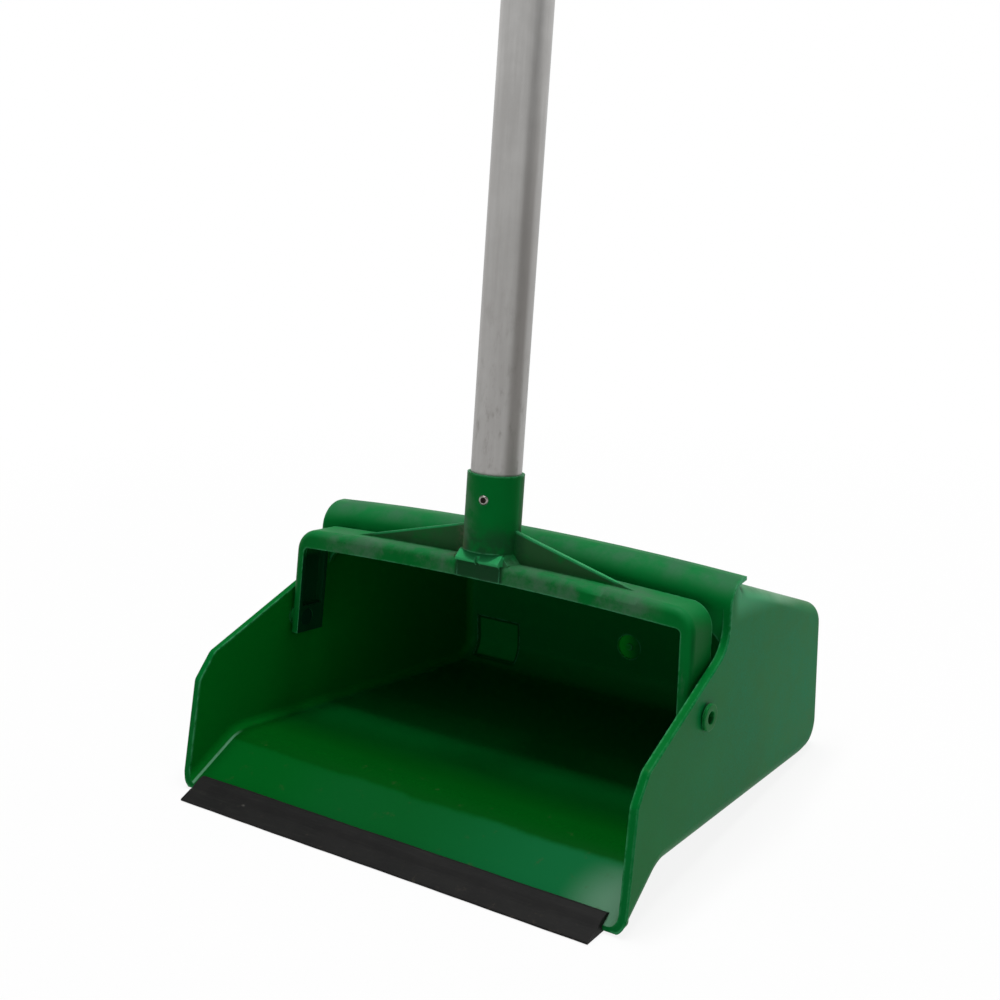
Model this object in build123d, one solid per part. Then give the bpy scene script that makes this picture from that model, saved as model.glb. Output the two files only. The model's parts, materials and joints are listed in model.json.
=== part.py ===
"""Long-handled lobby dustpan: a moulded pan with a rubber lip and a hinged yoke that carries a tube handle.

Frame: X to the right seen from the front, Y to the back, Z up, millimetres. The ground is z = 0 and y = 0 is half
way along the pan. Lengths along the pan are measured from the tip of the rubber lip, and the function along() turns
them into y. The yoke and what it carries are drawn upright about the hinge axis, then leaned back and put in place.
"""
import math
import os

from build123d import *

# Pan, outside
PAN_LENGTH = 245.0          # lip tip to rear wall
MOUTH_WIDTH = 258.4         # across the side walls at the front edge, on the ground
SIDE_TAPER = 3.24           # degrees that each side wall closes in towards the rear
WALL_DRAFT = 0.75           # degrees that each side wall leans in towards the top
FRONT_EDGE = 12.2           # front of the moulding, behind the lip tip
EDGE_RUN = 11.2             # front edge from the ground to the lower corner, along the pan
LOWER_CORNER_HEIGHT = 55.0
UPPER_CORNER_HEIGHT = 67.0
CORNER_RUN = 10.7           # lower corner to upper corner, along the pan
RIM_SLOPE = 19.0            # degrees that the side wall's top edge climbs
SHOULDER_RADIUS = 16.0      # sweep from the top edge up to the hood
ROOF_SLOPE = 21.4           # degrees that the roof falls to the rear
REAR_HEIGHT = 78.0          # where roof and rear wall would meet
REAR_TOP_RADIUS = 13.0
REAR_BOTTOM_RADIUS = 16.0
EDGE_RADIUS = 8.0           # outside rounding where the walls meet floor, rear and roof
CORNER_RADIUS = 5.0         # rounding of the side wall's two front corners

# Pan, walls
SIDE_WALL = 4.2
FLOOR_WALL = 3.0
REAR_WALL = 3.2
ROOF_WALL = 3.0
INNER_RADIUS = 5.0          # inside rounding along the walls
RIM_BEVEL = 0.6             # soft outer edge of the side walls' rim

# Floor: a ramp up from the lip to a crest, then a gentle fall to a flat land at the rear
CREST = 45.0                # crest, behind the lip tip
CREST_HEIGHT = 20.5
RAMP_FOOT = 18.0            # a point on the ramp
RAMP_FOOT_HEIGHT = 6.0
CREST_RADIUS = 22.0
LAND_LENGTH = 24.0          # flat land that stands on the ground, up to the rear wall
LAND_RADIUS = 60.0
TOE_DEPTH = 5.5             # thickened front edge of the floor
TOE_CLEARANCE = 1.0         # toe above the ground
TOE_INSET = 1.2             # toe's ends inside the side walls' faces
TOE_RADIUS = 5.0            # lower corners of the toe's ends

# Hood: the curled lip above the mouth
HOOD_FACE = 118.2           # front of the hood, behind the lip tip
HOOD_HEIGHT = 125.7         # ridge at the side walls
HOOD_RADIUS = 13.0
HOOD_WALL = 3.0
HOOD_REACH = 17.3           # hood face to the tip of its overhanging flange
HOOD_FLANGE_WALL = 1.8
HOOD_FLANGE_FALL = 1.0      # flange tip below the ridge
HOOD_DROP = 22.4            # ridge down to the hood's lower edge
HOOD_CORNER_RADIUS = 15.0   # where that edge sweeps down into the side walls
RIM_PROUD = 1.2             # side walls' rim ahead of the hood's face, at the foot of the hood
HOOD_CHEEK = 12.0           # depth of the flat cheek that closes each end of the hood
CROWN_RADIUS = 1750.0       # slight arch of the hood across the pan

# Marks of the mould on the inside of the rear wall
MARK_DEPTH = 0.9
GATE_MARK_DIAMETER = 14.5
GATE_MARK_RING = 5.2
GATE_MARK_HEIGHT = 30.5
INSERT_MARK_WIDTH = 30.0
INSERT_MARK_HEIGHT = 24.0
INSERT_MARK_FROM_CENTRE = 91.0
INSERT_MARK_BASE = 5.0

# Rubber lip
LIP_LENGTH = 236.0
LIP_DEPTH = 18.2
LIP_TIP = 0.9               # thickness of the blade at its tip
LIP_LEAF = 1.9              # leaf over the ramp
LIP_CREASE = 7.0            # blade meets the round back
LIP_CREASE_HEIGHT = 3.3
LIP_BULGE_HEIGHT = 0.5      # rise of the round back above a straight line
LIP_HOOK = 3.2              # leaf under the toe

# Hinge
PIVOT = 92.0                # hinge axis, behind the lip tip
PIVOT_HEIGHT = 71.0
PIN_DIAMETER = 9.0
PIN_HEAD_DIAMETER = 12.8
PIN_HEAD = 1.8
PIN_BORE = 6.0
PIN_PLAY = 0.08             # radial running clearance in the wall
PIN_HEAD_PLAY = 0.3         # head to wall at the nearest point
PIN_END = 1.6               # closed end inside the arm

# Yoke, in its own upright frame about the hinge axis
HANDLE_LEAN = 6.8           # degrees that the handle leans back at rest
YOKE_DEPTH = 20.0
YOKE_FRONT = 6.7            # front face ahead of the hinge axis
ARM_PLAY = 0.8              # arm to side wall beside the hinge
ARM_FLARE = 2.0             # arms lean in by this much from foot to bow
ARM_WIDTH = 6.0
ARM_WEB = 2.6               # outer wall of the arms' hollow inner side
ARM_BLOCK = 6.4             # solid foot of the arm, up to this far above the hinge axis
ARM_FOOT = 8.0              # arm below the hinge axis
BOW_UNDERSIDE = 38.3        # at the arms
BOW_HEIGHT = 9.4
BOW_WEB = 3.0               # upper wall of the bow, which is hollow from below
YOKE_FLANGE = 2.6           # front and back walls of that hollow
BOW_CORNER_RADIUS = 12.0
BOW_INNER_RADIUS = 2.5
BOW_CROWN_RADIUS = 2100.0   # slight arch of the bow
YOKE_EDGE_RADIUS = 4.0      # front outer edge; the back edge is the mould's parting line
SOCKET_TOP = 93.3
SOCKET_DIAMETER = 28.0
SOCKET_FLARE = 4.0          # spread of the socket's foot
SOCKET_FOOT_DEPTH = 17.6    # that foot from front to back
SOCKET_FLOOR_RISE = 1.6     # the tube stands this far above the pads' top
TUBE_PLAY = 0.1             # radial, tube in socket and in grip
PAD_WIDTH = 25.0
PAD_PROUD = 0.5             # front pad ahead of the bow
PAD_RISE = 4.3              # pads above the bow's top
TAB_PROUD = 2.4             # ledge at the front pad's top, ahead of the bow
TAB_BEVEL = 4.0             # bevel on that ledge
TAB_EDGE = 0.8              # upright edge below the bevel
TAB_NOTCH = 2.2             # slot that parts the ledge in two
GUSSET_TOP = 66.6
GUSSET_REACH = 81.0
GUSSET_WALL = 2.0
STOP_GAP = 0.3              # stop pad to hood at rest

# Handle tube, rivet and grip
TUBE_DIAMETER = 25.0
TUBE_WALL = 1.2
TUBE_LENGTH = 709.2
RIVET_HEIGHT = 81.4
RIVET_TURN = 11.5           # degrees round the socket from its front
RIVET_DIAMETER = 2.4
RIVET_HOLE_PLAY = 0.05
RIVET_HEAD_DIAMETER = 4.8
RIVET_HEAD = 0.8
RIVET_HEAD_EDGE = 0.3       # upright edge of the head below its cone
RIVET_HEAD_FLAT = 3.2       # flat top round the hole
RIVET_BULB_DIAMETER = 3.5
RIVET_BULB = 2.6
RIVET_SEAT = 0.3            # depth of the spot face under the head
MANDREL_DIAMETER = 1.5
MANDREL_SHORT = 0.9         # stem broken off below the top of the head
MANDREL_HEAD_DIAMETER = 2.2
MANDREL_HEAD = 1.2
GRIP_LENGTH = 118.0
GRIP_WALL = 2.2
GRIP_END = 24.0             # solid end above the tube
GRIP_COLLAR = 1.2
GRIP_COLLAR_LENGTH = 7.0
GRIP_BEVEL = 6.0
HANG_HOLE_DIAMETER = 9.0
HANG_HOLE_BELOW_TOP = 13.0

# Values that follow
FAR = 3 * PAN_LENGTH        # longer than anything that is trimmed
MOSTLY = 0.7                # share of a direction that counts as lying along an axis
LEAN = math.radians(HANDLE_LEAN)
AXIS_BACK = YOKE_DEPTH / 2 - YOKE_FRONT
BOW_TOP = BOW_UNDERSIDE + BOW_HEIGHT
RAMP_RISE = (CREST_HEIGHT - RAMP_FOOT_HEIGHT) / (CREST - RAMP_FOOT)
TAPER = math.tan(math.radians(SIDE_TAPER))
DRAFT = math.tan(math.radians(WALL_DRAFT))
WALL_STRETCH = math.sqrt(1.0 + TAPER ** 2 + DRAFT ** 2)
LAND_START = PAN_LENGTH - LAND_LENGTH
LOWER_CORNER = FRONT_EDGE + EDGE_RUN
UPPER_CORNER = LOWER_CORNER + CORNER_RUN
RIM_BACK = HOOD_FACE - RIM_PROUD
RIM_TOP = HOOD_FACE + RIM_PROUD / 2
RIM_MEETS_HOOD = UPPER_CORNER_HEIGHT + (RIM_BACK - UPPER_CORNER) * math.tan(math.radians(RIM_SLOPE))


def half_width(from_lip, height):
    """Half the pan's outside width at a distance behind the lip tip and a height."""
    return MOUTH_WIDTH / 2 - TAPER * (from_lip - FRONT_EDGE) - DRAFT * height


# Half the yoke's width at the hinge, the bow's middle, and where the rivet's head sits on the socket
ARM_OUTER = half_width(PIVOT + YOKE_DEPTH - YOKE_FRONT, PIVOT_HEIGHT) - SIDE_WALL * WALL_STRETCH - ARM_PLAY
BOW_ARCH = ARM_OUTER ** 2 / (2 * BOW_CROWN_RADIUS)
BOW_SEAT = BOW_TOP + BOW_ARCH
BOW_BASE = BOW_UNDERSIDE + BOW_ARCH
SOCKET_FLOOR = BOW_SEAT + PAD_RISE + SOCKET_FLOOR_RISE
RIVET_SEAT_AT = SOCKET_DIAMETER / 2 - RIVET_SEAT


def along(from_lip):
    """y of a place given by its distance behind the lip tip."""
    return from_lip - PAN_LENGTH / 2


def ramp_height(from_lip):
    """Height of the ramp's upper face."""
    return RAMP_FOOT_HEIGHT + RAMP_RISE * (from_lip - RAMP_FOOT)


def roof_height(from_lip):
    """Height of the roof's outer face."""
    return REAR_HEIGHT + (PAN_LENGTH - from_lip) * math.tan(math.radians(ROOF_SLOPE))


def side_face(points, radii):
    """Face in the YZ plane from (distance behind the lip tip, height) corners, each with its rounding."""
    corners = [(along(s), z) for s, z in points]
    return Plane.YZ * make_face(FilletPolyline(*corners, radius=radii, close=True))


def across(face):
    """Solid made by carrying a side face across the whole pan."""
    return extrude(face, amount=FAR, both=True)


def between_walls(inset=0.0):
    """Space between the outer planes of the two side walls, set in by a wall's thickness."""
    plane = Plane(origin=(MOUTH_WIDTH / 2, along(FRONT_EDGE), 0), z_dir=(1.0, TAPER, DRAFT))
    right = extrude(plane.offset(-inset) * Rectangle(2 * FAR, 2 * FAR), amount=-2 * FAR)
    return right & mirror(right, Plane.YZ)


def round_sides(solid, radius, front):
    """Rounds the edges of both side faces except those on the open front."""
    sides = [f for f in solid.faces() if abs(f.normal_at().X) > MOSTLY]
    edges = [e for f in sides for e in f.edges() if (e @ 0.5).Y > front + radius]
    return fillet(edges, radius)


def floor_points(lift):
    """Crest and land corners of the floor line, lifted square to the floor by a wall's thickness."""
    fall = (CREST_HEIGHT - FLOOR_WALL) / (LAND_START - CREST)
    ramp_drop = (FLOOR_WALL - lift) * math.hypot(1.0, RAMP_RISE)
    floor_lift = lift * math.hypot(1.0, fall)
    ramp_at_zero = RAMP_FOOT_HEIGHT - RAMP_RISE * RAMP_FOOT - ramp_drop
    floor_at_zero = fall * LAND_START + floor_lift
    crest = (floor_at_zero - ramp_at_zero) / (RAMP_RISE + fall)
    land = LAND_START + (floor_lift - lift) / fall
    return (crest, ramp_at_zero + RAMP_RISE * crest), (land, lift), ramp_at_zero


def rim_corners():
    """Corners of the side walls' free edge, from the toe up to the hood's ridge, and their roundings."""
    corners = [(FRONT_EDGE, TOE_CLEARANCE), (LOWER_CORNER, LOWER_CORNER_HEIGHT), (UPPER_CORNER, UPPER_CORNER_HEIGHT),
               (RIM_BACK, RIM_MEETS_HOOD), (RIM_TOP, HOOD_HEIGHT)]
    return corners, [0, CORNER_RADIUS, CORNER_RADIUS, SHOULDER_RADIUS, HOOD_RADIUS + 2 * RIM_PROUD]


def within_rim():
    """Everything behind the side walls' free edge."""
    corners, radii = rim_corners()
    heel = FRONT_EDGE + TOE_DEPTH
    rest = [(FAR, HOOD_HEIGHT), (FAR, -FAR), (heel, -FAR), (heel, TOE_CLEARANCE)]
    return across(side_face(corners + rest, radii + [0] * len(rest)))


def soft_rim(solid):
    """Takes the sharpness off the outer edge of the side walls' rim."""
    corners, radii = rim_corners()
    line = Plane.YZ * FilletPolyline(*[(along(s), z) for s, z in corners], radius=radii[1:-1])
    edges = []
    for edge in solid.edges():
        middle = edge @ 0.5
        on_rim = line.distance_to(Vertex(0, middle.Y, middle.Z)) < RIM_BEVEL / 2
        if on_rim and abs((edge % 0.5).X) < MOSTLY:
            edges.append(edge)
    return chamfer(edges, RIM_BEVEL)


def pan_outside():
    """Outer form of the pan before it is hollowed: rounded box, trimmed to the rim's outline, and the toe."""
    crest, land, ramp_at_zero = floor_points(0.0)
    box = across(side_face(
        [(0.0, ramp_at_zero), (0.0, roof_height(0.0)), (PAN_LENGTH, REAR_HEIGHT), (PAN_LENGTH, 0.0), land, crest],
        [0, 0, REAR_TOP_RADIUS, REAR_BOTTOM_RADIUS, LAND_RADIUS, CREST_RADIUS])) & between_walls()
    box = round_sides(box, EDGE_RADIUS, along(0.0))
    return soft_rim(box & within_rim()) + (toe() & within_rim())


def toe():
    """Thickened front edge of the floor, with round lower corners."""
    bar = Pos(0, along(FRONT_EDGE), TOE_CLEARANCE) * Box(
        2 * MOUTH_WIDTH, TOE_DEPTH, CREST_HEIGHT, align=(Align.CENTER, Align.MIN, Align.MIN)) & between_walls(TOE_INSET)
    corners = [e for e in bar.edges().group_by(Axis.Z)[0] if abs((e % 0.5).Y) > MOSTLY]
    return fillet(corners, TOE_RADIUS)


def pan_hollow(deeper=0.0):
    """Space inside the pan, open to the front and, ahead of the hood, to the top."""
    crest, land, ramp_at_zero = floor_points(FLOOR_WALL - deeper)
    floor = FLOOR_WALL - deeper
    rear = PAN_LENGTH - REAR_WALL + deeper
    roof_drop = ROOF_WALL / math.cos(math.radians(ROOF_SLOPE))
    mouth = HOOD_FACE + HOOD_WALL / 2
    start = -PAN_LENGTH
    space = across(side_face(
        [(start, ramp_at_zero + RAMP_RISE * start), crest, land, (rear, floor),
         (rear, roof_height(rear) - roof_drop), (start, roof_height(start) - roof_drop)],
        [0, CREST_RADIUS, LAND_RADIUS, REAR_BOTTOM_RADIUS - floor, REAR_TOP_RADIUS - ROOF_WALL, 0]))
    space = round_sides(space & between_walls(SIDE_WALL), INNER_RADIUS, along(start))
    above = across(side_face([(start, HOOD_HEIGHT / 2), (mouth, HOOD_HEIGHT / 2), (mouth, FAR), (start, FAR)],
                             [0, 0, 0, 0])) & between_walls(SIDE_WALL)
    return space + above


def hood():
    """Curled lip over the mouth: a bent sheet, arched across the pan, with a thin flange to the rear."""
    half = half_width(HOOD_FACE, HOOD_HEIGHT)
    arch = half ** 2 / (2 * CROWN_RADIUS)
    ridge = CROWN_RADIUS + arch
    inside = HOOD_FACE + HOOD_WALL
    tip = HOOD_FACE + HOOD_REACH
    section = side_face(
        [(HOOD_FACE, ridge - HOOD_DROP), (HOOD_FACE, ridge), (tip, ridge - HOOD_FLANGE_FALL),
         (tip, ridge - HOOD_FLANGE_FALL - HOOD_FLANGE_WALL), (inside, ridge - HOOD_WALL), (inside, ridge - HOOD_DROP)],
        [0, HOOD_RADIUS, 0, 0, HOOD_RADIUS - HOOD_WALL, 0])
    sweep = 2 * math.degrees(math.asin(half / CROWN_RADIUS))
    sheet = revolve(Rot(0, -sweep, 0) * section, Axis.Y, 2 * sweep)
    return Pos(0, 0, HOOD_HEIGHT - CROWN_RADIUS) * sheet & between_walls()


def hood_corners():
    """Hollow sweeps, one at each end, that carry the hood's lower edge down into the side walls."""
    edge = HOOD_HEIGHT - HOOD_DROP
    foot = edge - HOOD_CORNER_RADIUS
    inner = half_width(HOOD_FACE, foot) - SIDE_WALL * WALL_STRETCH
    block = Pos(inner, along(HOOD_FACE), edge + HOOD_WALL) * Box(
        2 * HOOD_CORNER_RADIUS, HOOD_WALL, HOOD_CORNER_RADIUS + HOOD_WALL, align=(Align.CENTER, Align.MIN, Align.MAX))
    sweep = Pos(inner + RIM_BEVEL - HOOD_CORNER_RADIUS, along(HOOD_FACE), foot) * Rot(90, 0, 0) * Cylinder(
        HOOD_CORNER_RADIUS, FAR)
    right = block - sweep
    return (right + mirror(right, Plane.YZ)) & between_walls(SIDE_WALL / 2)


def cheeks():
    """Flat ends of the hood, flush with the side walls, each with a hollow-ground rear edge."""
    top = (along(HOOD_FACE + HOOD_CHEEK / 2), HOOD_HEIGHT - HOOD_FLANGE_WALL)
    belly = (along(HOOD_FACE + HOOD_CHEEK), HOOD_HEIGHT - HOOD_CHEEK)
    foot = (along(HOOD_FACE + HOOD_CHEEK / 2), HOOD_HEIGHT - 2 * HOOD_CHEEK)
    front = along(RIM_BACK)
    edge = ThreePointArc(foot, belly, top)
    rest = Polyline(top, (front, HOOD_HEIGHT - HOOD_FLANGE_WALL), (front, foot[1]), foot)
    lens = across(Plane.YZ * make_face([edge, rest]))
    return (lens & within_rim() & between_walls()) - between_walls(SIDE_WALL)


def mould_marks():
    """Shallow ring and square that the mould leaves on the inside of the rear wall."""
    rear = along(PAN_LENGTH)
    ring = Pos(0, rear, GATE_MARK_HEIGHT) * Rot(90, 0, 0) * (
        Cylinder(GATE_MARK_DIAMETER / 2, REAR_WALL * 4) - Cylinder(GATE_MARK_DIAMETER / 2 - GATE_MARK_RING, REAR_WALL * 4))
    square = Pos(-INSERT_MARK_FROM_CENTRE, rear, INSERT_MARK_BASE) * Box(
        INSERT_MARK_WIDTH, 2 * REAR_BOTTOM_RADIUS, INSERT_MARK_HEIGHT, align=(Align.CENTER, Align.CENTER, Align.MIN))
    return (ring + square) & pan_hollow(MARK_DEPTH)


def pan_body():
    """The whole moulding."""
    body = pan_outside() - pan_hollow() + hood() + hood_corners() + cheeks()
    hinge = Pos(0, along(PIVOT), PIVOT_HEIGHT) * Rot(0, 90, 0) * Cylinder(PIN_DIAMETER / 2 + PIN_PLAY, FAR)
    return body - hinge - mould_marks()


def rubber_lip():
    """Rubber strip: a blade in front, a round back over the ramp and a hook under the toe."""
    foot = ramp_height(FRONT_EDGE)
    hook = FRONT_EDGE + LIP_HOOK
    crown = (LIP_DEPTH - LIP_LEAF, ramp_height(LIP_DEPTH - LIP_LEAF) + LIP_LEAF * math.hypot(1.0, RAMP_RISE))
    crease = (LIP_CREASE, LIP_CREASE_HEIGHT)
    bulge = ((crease[0] + crown[0]) / 2 - LIP_BULGE_HEIGHT * RAMP_RISE, (crease[1] + crown[1]) / 2 + LIP_BULGE_HEIGHT)
    corners = [crown, (LIP_DEPTH, ramp_height(LIP_DEPTH)), (FRONT_EDGE, foot), (FRONT_EDGE, TOE_CLEARANCE),
               (hook, TOE_CLEARANCE), (hook, 0.0), (0.0, 0.0), (0.0, LIP_TIP), crease]
    places = [(along(s), z) for s, z in corners]
    back = ThreePointArc(places[-1], (along(bulge[0]), bulge[1]), places[0])
    section = Plane.YZ * make_face([Polyline(*places), back])
    return extrude(section, amount=LIP_LENGTH / 2, both=True)


def in_place(shape):
    """Leans a shape of the yoke's frame back and puts it on the hinge axis."""
    return Pos(0, along(PIVOT), PIVOT_HEIGHT) * Rot(-HANDLE_LEAN, 0, 0) * shape


def arched(half, crown, foot, corner):
    """Face between two sides that lean together, under an arched top with rounded corners."""
    lean = ARM_FLARE / BOW_TOP
    tall = 2 * crown
    sides = [(-half - lean * foot, -foot), (half + lean * foot, -foot),
             (half - lean * tall, tall), (-half + lean * tall, tall)]
    face = make_face(Polyline(*sides, close=True)) & Pos(0, crown - BOW_CROWN_RADIUS) * Circle(BOW_CROWN_RADIUS)
    return fillet(face.vertices().group_by(Axis.Y)[-1], corner)


def yoke_frame():
    """Two arms and the bow between them."""
    outer = arched(ARM_OUTER, BOW_SEAT, ARM_FOOT, BOW_CORNER_RADIUS)
    inner = arched(ARM_OUTER - ARM_WIDTH, BOW_BASE, 2 * ARM_FOOT, BOW_INNER_RADIUS)
    frame = Pos(0, -YOKE_FRONT, 0) * extrude(Plane.XZ * (outer - inner), amount=YOKE_DEPTH, dir=(0, 1, 0))
    face = frame.faces().sort_by(Axis.Y)[0]
    outside = [e for e in face.edges()
               if abs((e @ 0.5).X) > ARM_OUTER - ARM_WIDTH / 4 or (e @ 0.5).Z > BOW_TOP - BOW_HEIGHT / 4]
    return fillet(outside, YOKE_EDGE_RADIUS) - yoke_hollow()


def yoke_hollow():
    """Hollow inner side of the arms and the bow, which leaves walls of much the same thickness."""
    face = arched(ARM_OUTER - ARM_WEB, BOW_SEAT - BOW_WEB, -ARM_BLOCK, BOW_CORNER_RADIUS - BOW_WEB)
    return Pos(0, YOKE_FLANGE - YOKE_FRONT, 0) * extrude(Plane.XZ * face, amount=YOKE_DEPTH - 2 * YOKE_FLANGE, dir=(0, 1, 0))


def rivet_plane(from_axis):
    """Plane square to the rivet at a distance from the socket's axis, facing out."""
    turn = math.radians(RIVET_TURN)
    out = (math.sin(turn), -math.cos(turn), 0)
    return Plane(origin=(from_axis * out[0], AXIS_BACK + from_axis * out[1], RIVET_HEIGHT), z_dir=out)


def yoke():
    """Frame, handle socket with its pads, and the two gussets."""
    wide = SOCKET_DIAMETER / 2
    spread_top = BOW_SEAT + PAD_RISE
    spread_end = wide + SOCKET_FLARE
    flare = make_face(Polyline((wide, spread_top), (0, spread_top), (0, BOW_BASE), (spread_end, BOW_BASE),
                               (spread_end, BOW_SEAT), close=True))
    spread = revolve(Plane.XZ * flare, Axis.Z) & Box(FAR, SOCKET_FOOT_DEPTH, FAR)
    barrel = extrude(Pos(0, 0, spread_top) * Circle(wide), amount=SOCKET_TOP - spread_top)
    socket = spread + barrel
    whole = yoke_frame() + Pos(0, AXIS_BACK, 0) * (socket + gussets()) + front_pad() + stop_pad()
    bore = Pos(0, AXIS_BACK, SOCKET_FLOOR) * Cylinder(
        TUBE_DIAMETER / 2 + TUBE_PLAY, SOCKET_TOP, align=(Align.CENTER, Align.CENTER, Align.MIN))
    pins = Rot(0, 90, 0) * Cylinder(PIN_DIAMETER / 2, FAR)
    spot = rivet_plane(RIVET_SEAT_AT) * Cylinder(
        RIVET_HEAD_DIAMETER / 2 + RIVET_HOLE_PLAY, TUBE_DIAMETER, align=(Align.CENTER, Align.CENTER, Align.MIN))
    return whole - bore - pins - spot - rivet_hole()


def gussets():
    """Thin web that falls from the socket's sides to the bow, from end to end in one piece."""
    wide = SOCKET_DIAMETER / 2
    end = BOW_SEAT - GUSSET_REACH ** 2 / (2 * BOW_CROWN_RADIUS)
    middle = BOW_SEAT - BOW_WEB / 2
    edge = Polyline((wide, GUSSET_TOP), (GUSSET_REACH, end), (0, middle), (-GUSSET_REACH, end), (-wide, GUSSET_TOP),
                    close=True)
    return extrude(Plane.XZ * make_face(edge), amount=GUSSET_WALL / 2, both=True)


def front_pad():
    """Block under the socket's front, with a bevelled ledge at its top that a slot parts in two."""
    top = BOW_SEAT + PAD_RISE
    front = -YOKE_FRONT - PAD_PROUD
    tip = -YOKE_FRONT - TAB_PROUD
    under = top - TAB_BEVEL - TAB_EDGE
    side = [(AXIS_BACK, BOW_BASE), (front, BOW_BASE), (front, under + tip - front), (tip, under), (tip, under + TAB_EDGE),
            (tip + TAB_BEVEL, top), (AXIS_BACK, top)]
    block = extrude(Plane.YZ * make_face(Polyline(*side, close=True)), amount=PAD_WIDTH / 2, both=True)
    notch = Pos(0, front, top) * Box(TAB_NOTCH, 2 * TAB_PROUD, 2 * PAD_WIDTH, align=(Align.CENTER, Align.MAX, Align.CENTER))
    return block - notch


def stop_pad():
    """Block behind the socket whose rear face meets the hood squarely when the handle leans back."""
    top = BOW_SEAT + PAD_RISE
    reach = HOOD_FACE - STOP_GAP - PIVOT
    lower, upper = [(reach - v * math.sin(LEAN)) / math.cos(LEAN) for v in (BOW_BASE, top)]
    side = [(AXIS_BACK, BOW_BASE), (lower, BOW_BASE), (upper, top), (AXIS_BACK, top)]
    return extrude(Plane.YZ * make_face(Polyline(*side, close=True)), amount=PAD_WIDTH / 2, both=True)


def rivet_hole():
    """Drilled hole through the socket's front and the tube's front wall."""
    return rivet_plane(0) * Cylinder(
        RIVET_DIAMETER / 2 + RIVET_HOLE_PLAY, TUBE_DIAMETER, align=(Align.CENTER, Align.CENTER, Align.MIN))


def pivot_pin():
    """Right-hand hinge stud: a shank with a round head outside the wall, hollow from there to its closed end."""
    reach = PIN_HEAD_DIAMETER / 2
    head = half_width(PIVOT - reach, PIVOT_HEIGHT - reach) + PIN_HEAD_PLAY
    face = head + PIN_HEAD
    end = ARM_OUTER - ARM_WIDTH
    shank = PIN_DIAMETER / 2
    bore = PIN_BORE / 2
    section = make_face(Polyline(
        (end, 0), (end, shank), (head, shank), (head, reach), (face, reach), (face, bore), (end + PIN_END, bore),
        (end + PIN_END, 0), close=True))
    return revolve(section, Axis.X)


def handle_tube():
    """Plain tube that stands on the socket's floor."""
    ring = Circle(TUBE_DIAMETER / 2) - Circle(TUBE_DIAMETER / 2 - TUBE_WALL)
    tube = Pos(0, AXIS_BACK, SOCKET_FLOOR) * extrude(ring, amount=TUBE_LENGTH)
    return tube - rivet_hole()


def bulb_start():
    """Distance from the socket's axis at which the rivet's bulb meets the inside of the tube."""
    inside = TUBE_DIAMETER / 2 - TUBE_WALL
    return math.sqrt(inside ** 2 - (RIVET_BULB_DIAMETER / 2) ** 2)


def socket_rivet():
    """Blind rivet: coned head on the socket, shank through socket and tube, bulb inside the tube."""
    bulb_top = bulb_start()
    bulb_end = bulb_top - RIVET_BULB
    shank = RIVET_DIAMETER / 2
    hole = MANDREL_DIAMETER / 2
    head = RIVET_HEAD_DIAMETER / 2
    top = RIVET_SEAT_AT + RIVET_HEAD
    section = make_face(Polyline(
        (hole, bulb_end), (hole, top), (RIVET_HEAD_FLAT / 2, top), (head, RIVET_SEAT_AT + RIVET_HEAD_EDGE),
        (head, RIVET_SEAT_AT), (shank, RIVET_SEAT_AT), (shank, bulb_top),
        (RIVET_BULB_DIAMETER / 2, bulb_top), (RIVET_BULB_DIAMETER / 2, bulb_end), close=True))
    return rivet_plane(0) * revolve(Plane.XZ * section, Axis.Z)


def rivet_mandrel():
    """Broken-off stem of the rivet with its head behind the bulb."""
    bulb_end = bulb_start() - RIVET_BULB
    top = RIVET_SEAT_AT + RIVET_HEAD - MANDREL_SHORT
    stem = MANDREL_DIAMETER / 2
    ball = MANDREL_HEAD_DIAMETER / 2
    section = make_face(Polyline(
        (0, top), (stem, top), (stem, bulb_end), (ball, bulb_end), (ball, bulb_end - MANDREL_HEAD),
        (0, bulb_end - MANDREL_HEAD), close=True))
    return rivet_plane(0) * revolve(Plane.XZ * section, Axis.Z)


def hand_grip():
    """Moulded sleeve over the tube's top end: collar, bevelled end and a hang hole."""
    inner = TUBE_DIAMETER / 2 + TUBE_PLAY
    outer = inner + GRIP_WALL
    collar = outer + GRIP_COLLAR
    top = GRIP_LENGTH
    floor = top - GRIP_END
    profile = [(inner, 0), (collar, 0), (collar, GRIP_COLLAR_LENGTH), (outer, GRIP_COLLAR_LENGTH),
               (outer, top - GRIP_BEVEL), (outer - GRIP_BEVEL, top), (0, top), (0, floor), (inner, floor)]
    sleeve = revolve(Plane.XZ * make_face(Polyline(*profile, close=True)), Axis.Z)
    hole = Pos(0, 0, top - HANG_HOLE_BELOW_TOP) * Rot(0, 90, 0) * Cylinder(HANG_HOLE_DIAMETER / 2, FAR)
    return Pos(0, AXIS_BACK, SOCKET_FLOOR + TUBE_LENGTH - floor) * (sleeve - hole)


if __name__ == "__main__":
    os.makedirs("parts", exist_ok=True)
    right_pin = pivot_pin()
    pieces = {
        "pan_body": pan_body(),
        "rubber_lip": rubber_lip(),
        "yoke": in_place(yoke()),
        "pivot_pin_left": in_place(mirror(right_pin, Plane.YZ)),
        "pivot_pin_right": in_place(right_pin),
        "handle_tube": in_place(handle_tube()),
        "socket_rivet": in_place(socket_rivet()),
        "rivet_mandrel": in_place(rivet_mandrel()),
        "hand_grip": in_place(hand_grip()),
    }
    for name, piece in pieces.items():
        print(name, "solids", len(piece.solids()), "valid", piece.is_valid, "volume", round(piece.volume))
        export_step(piece, f"parts/{name}.step")
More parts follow.
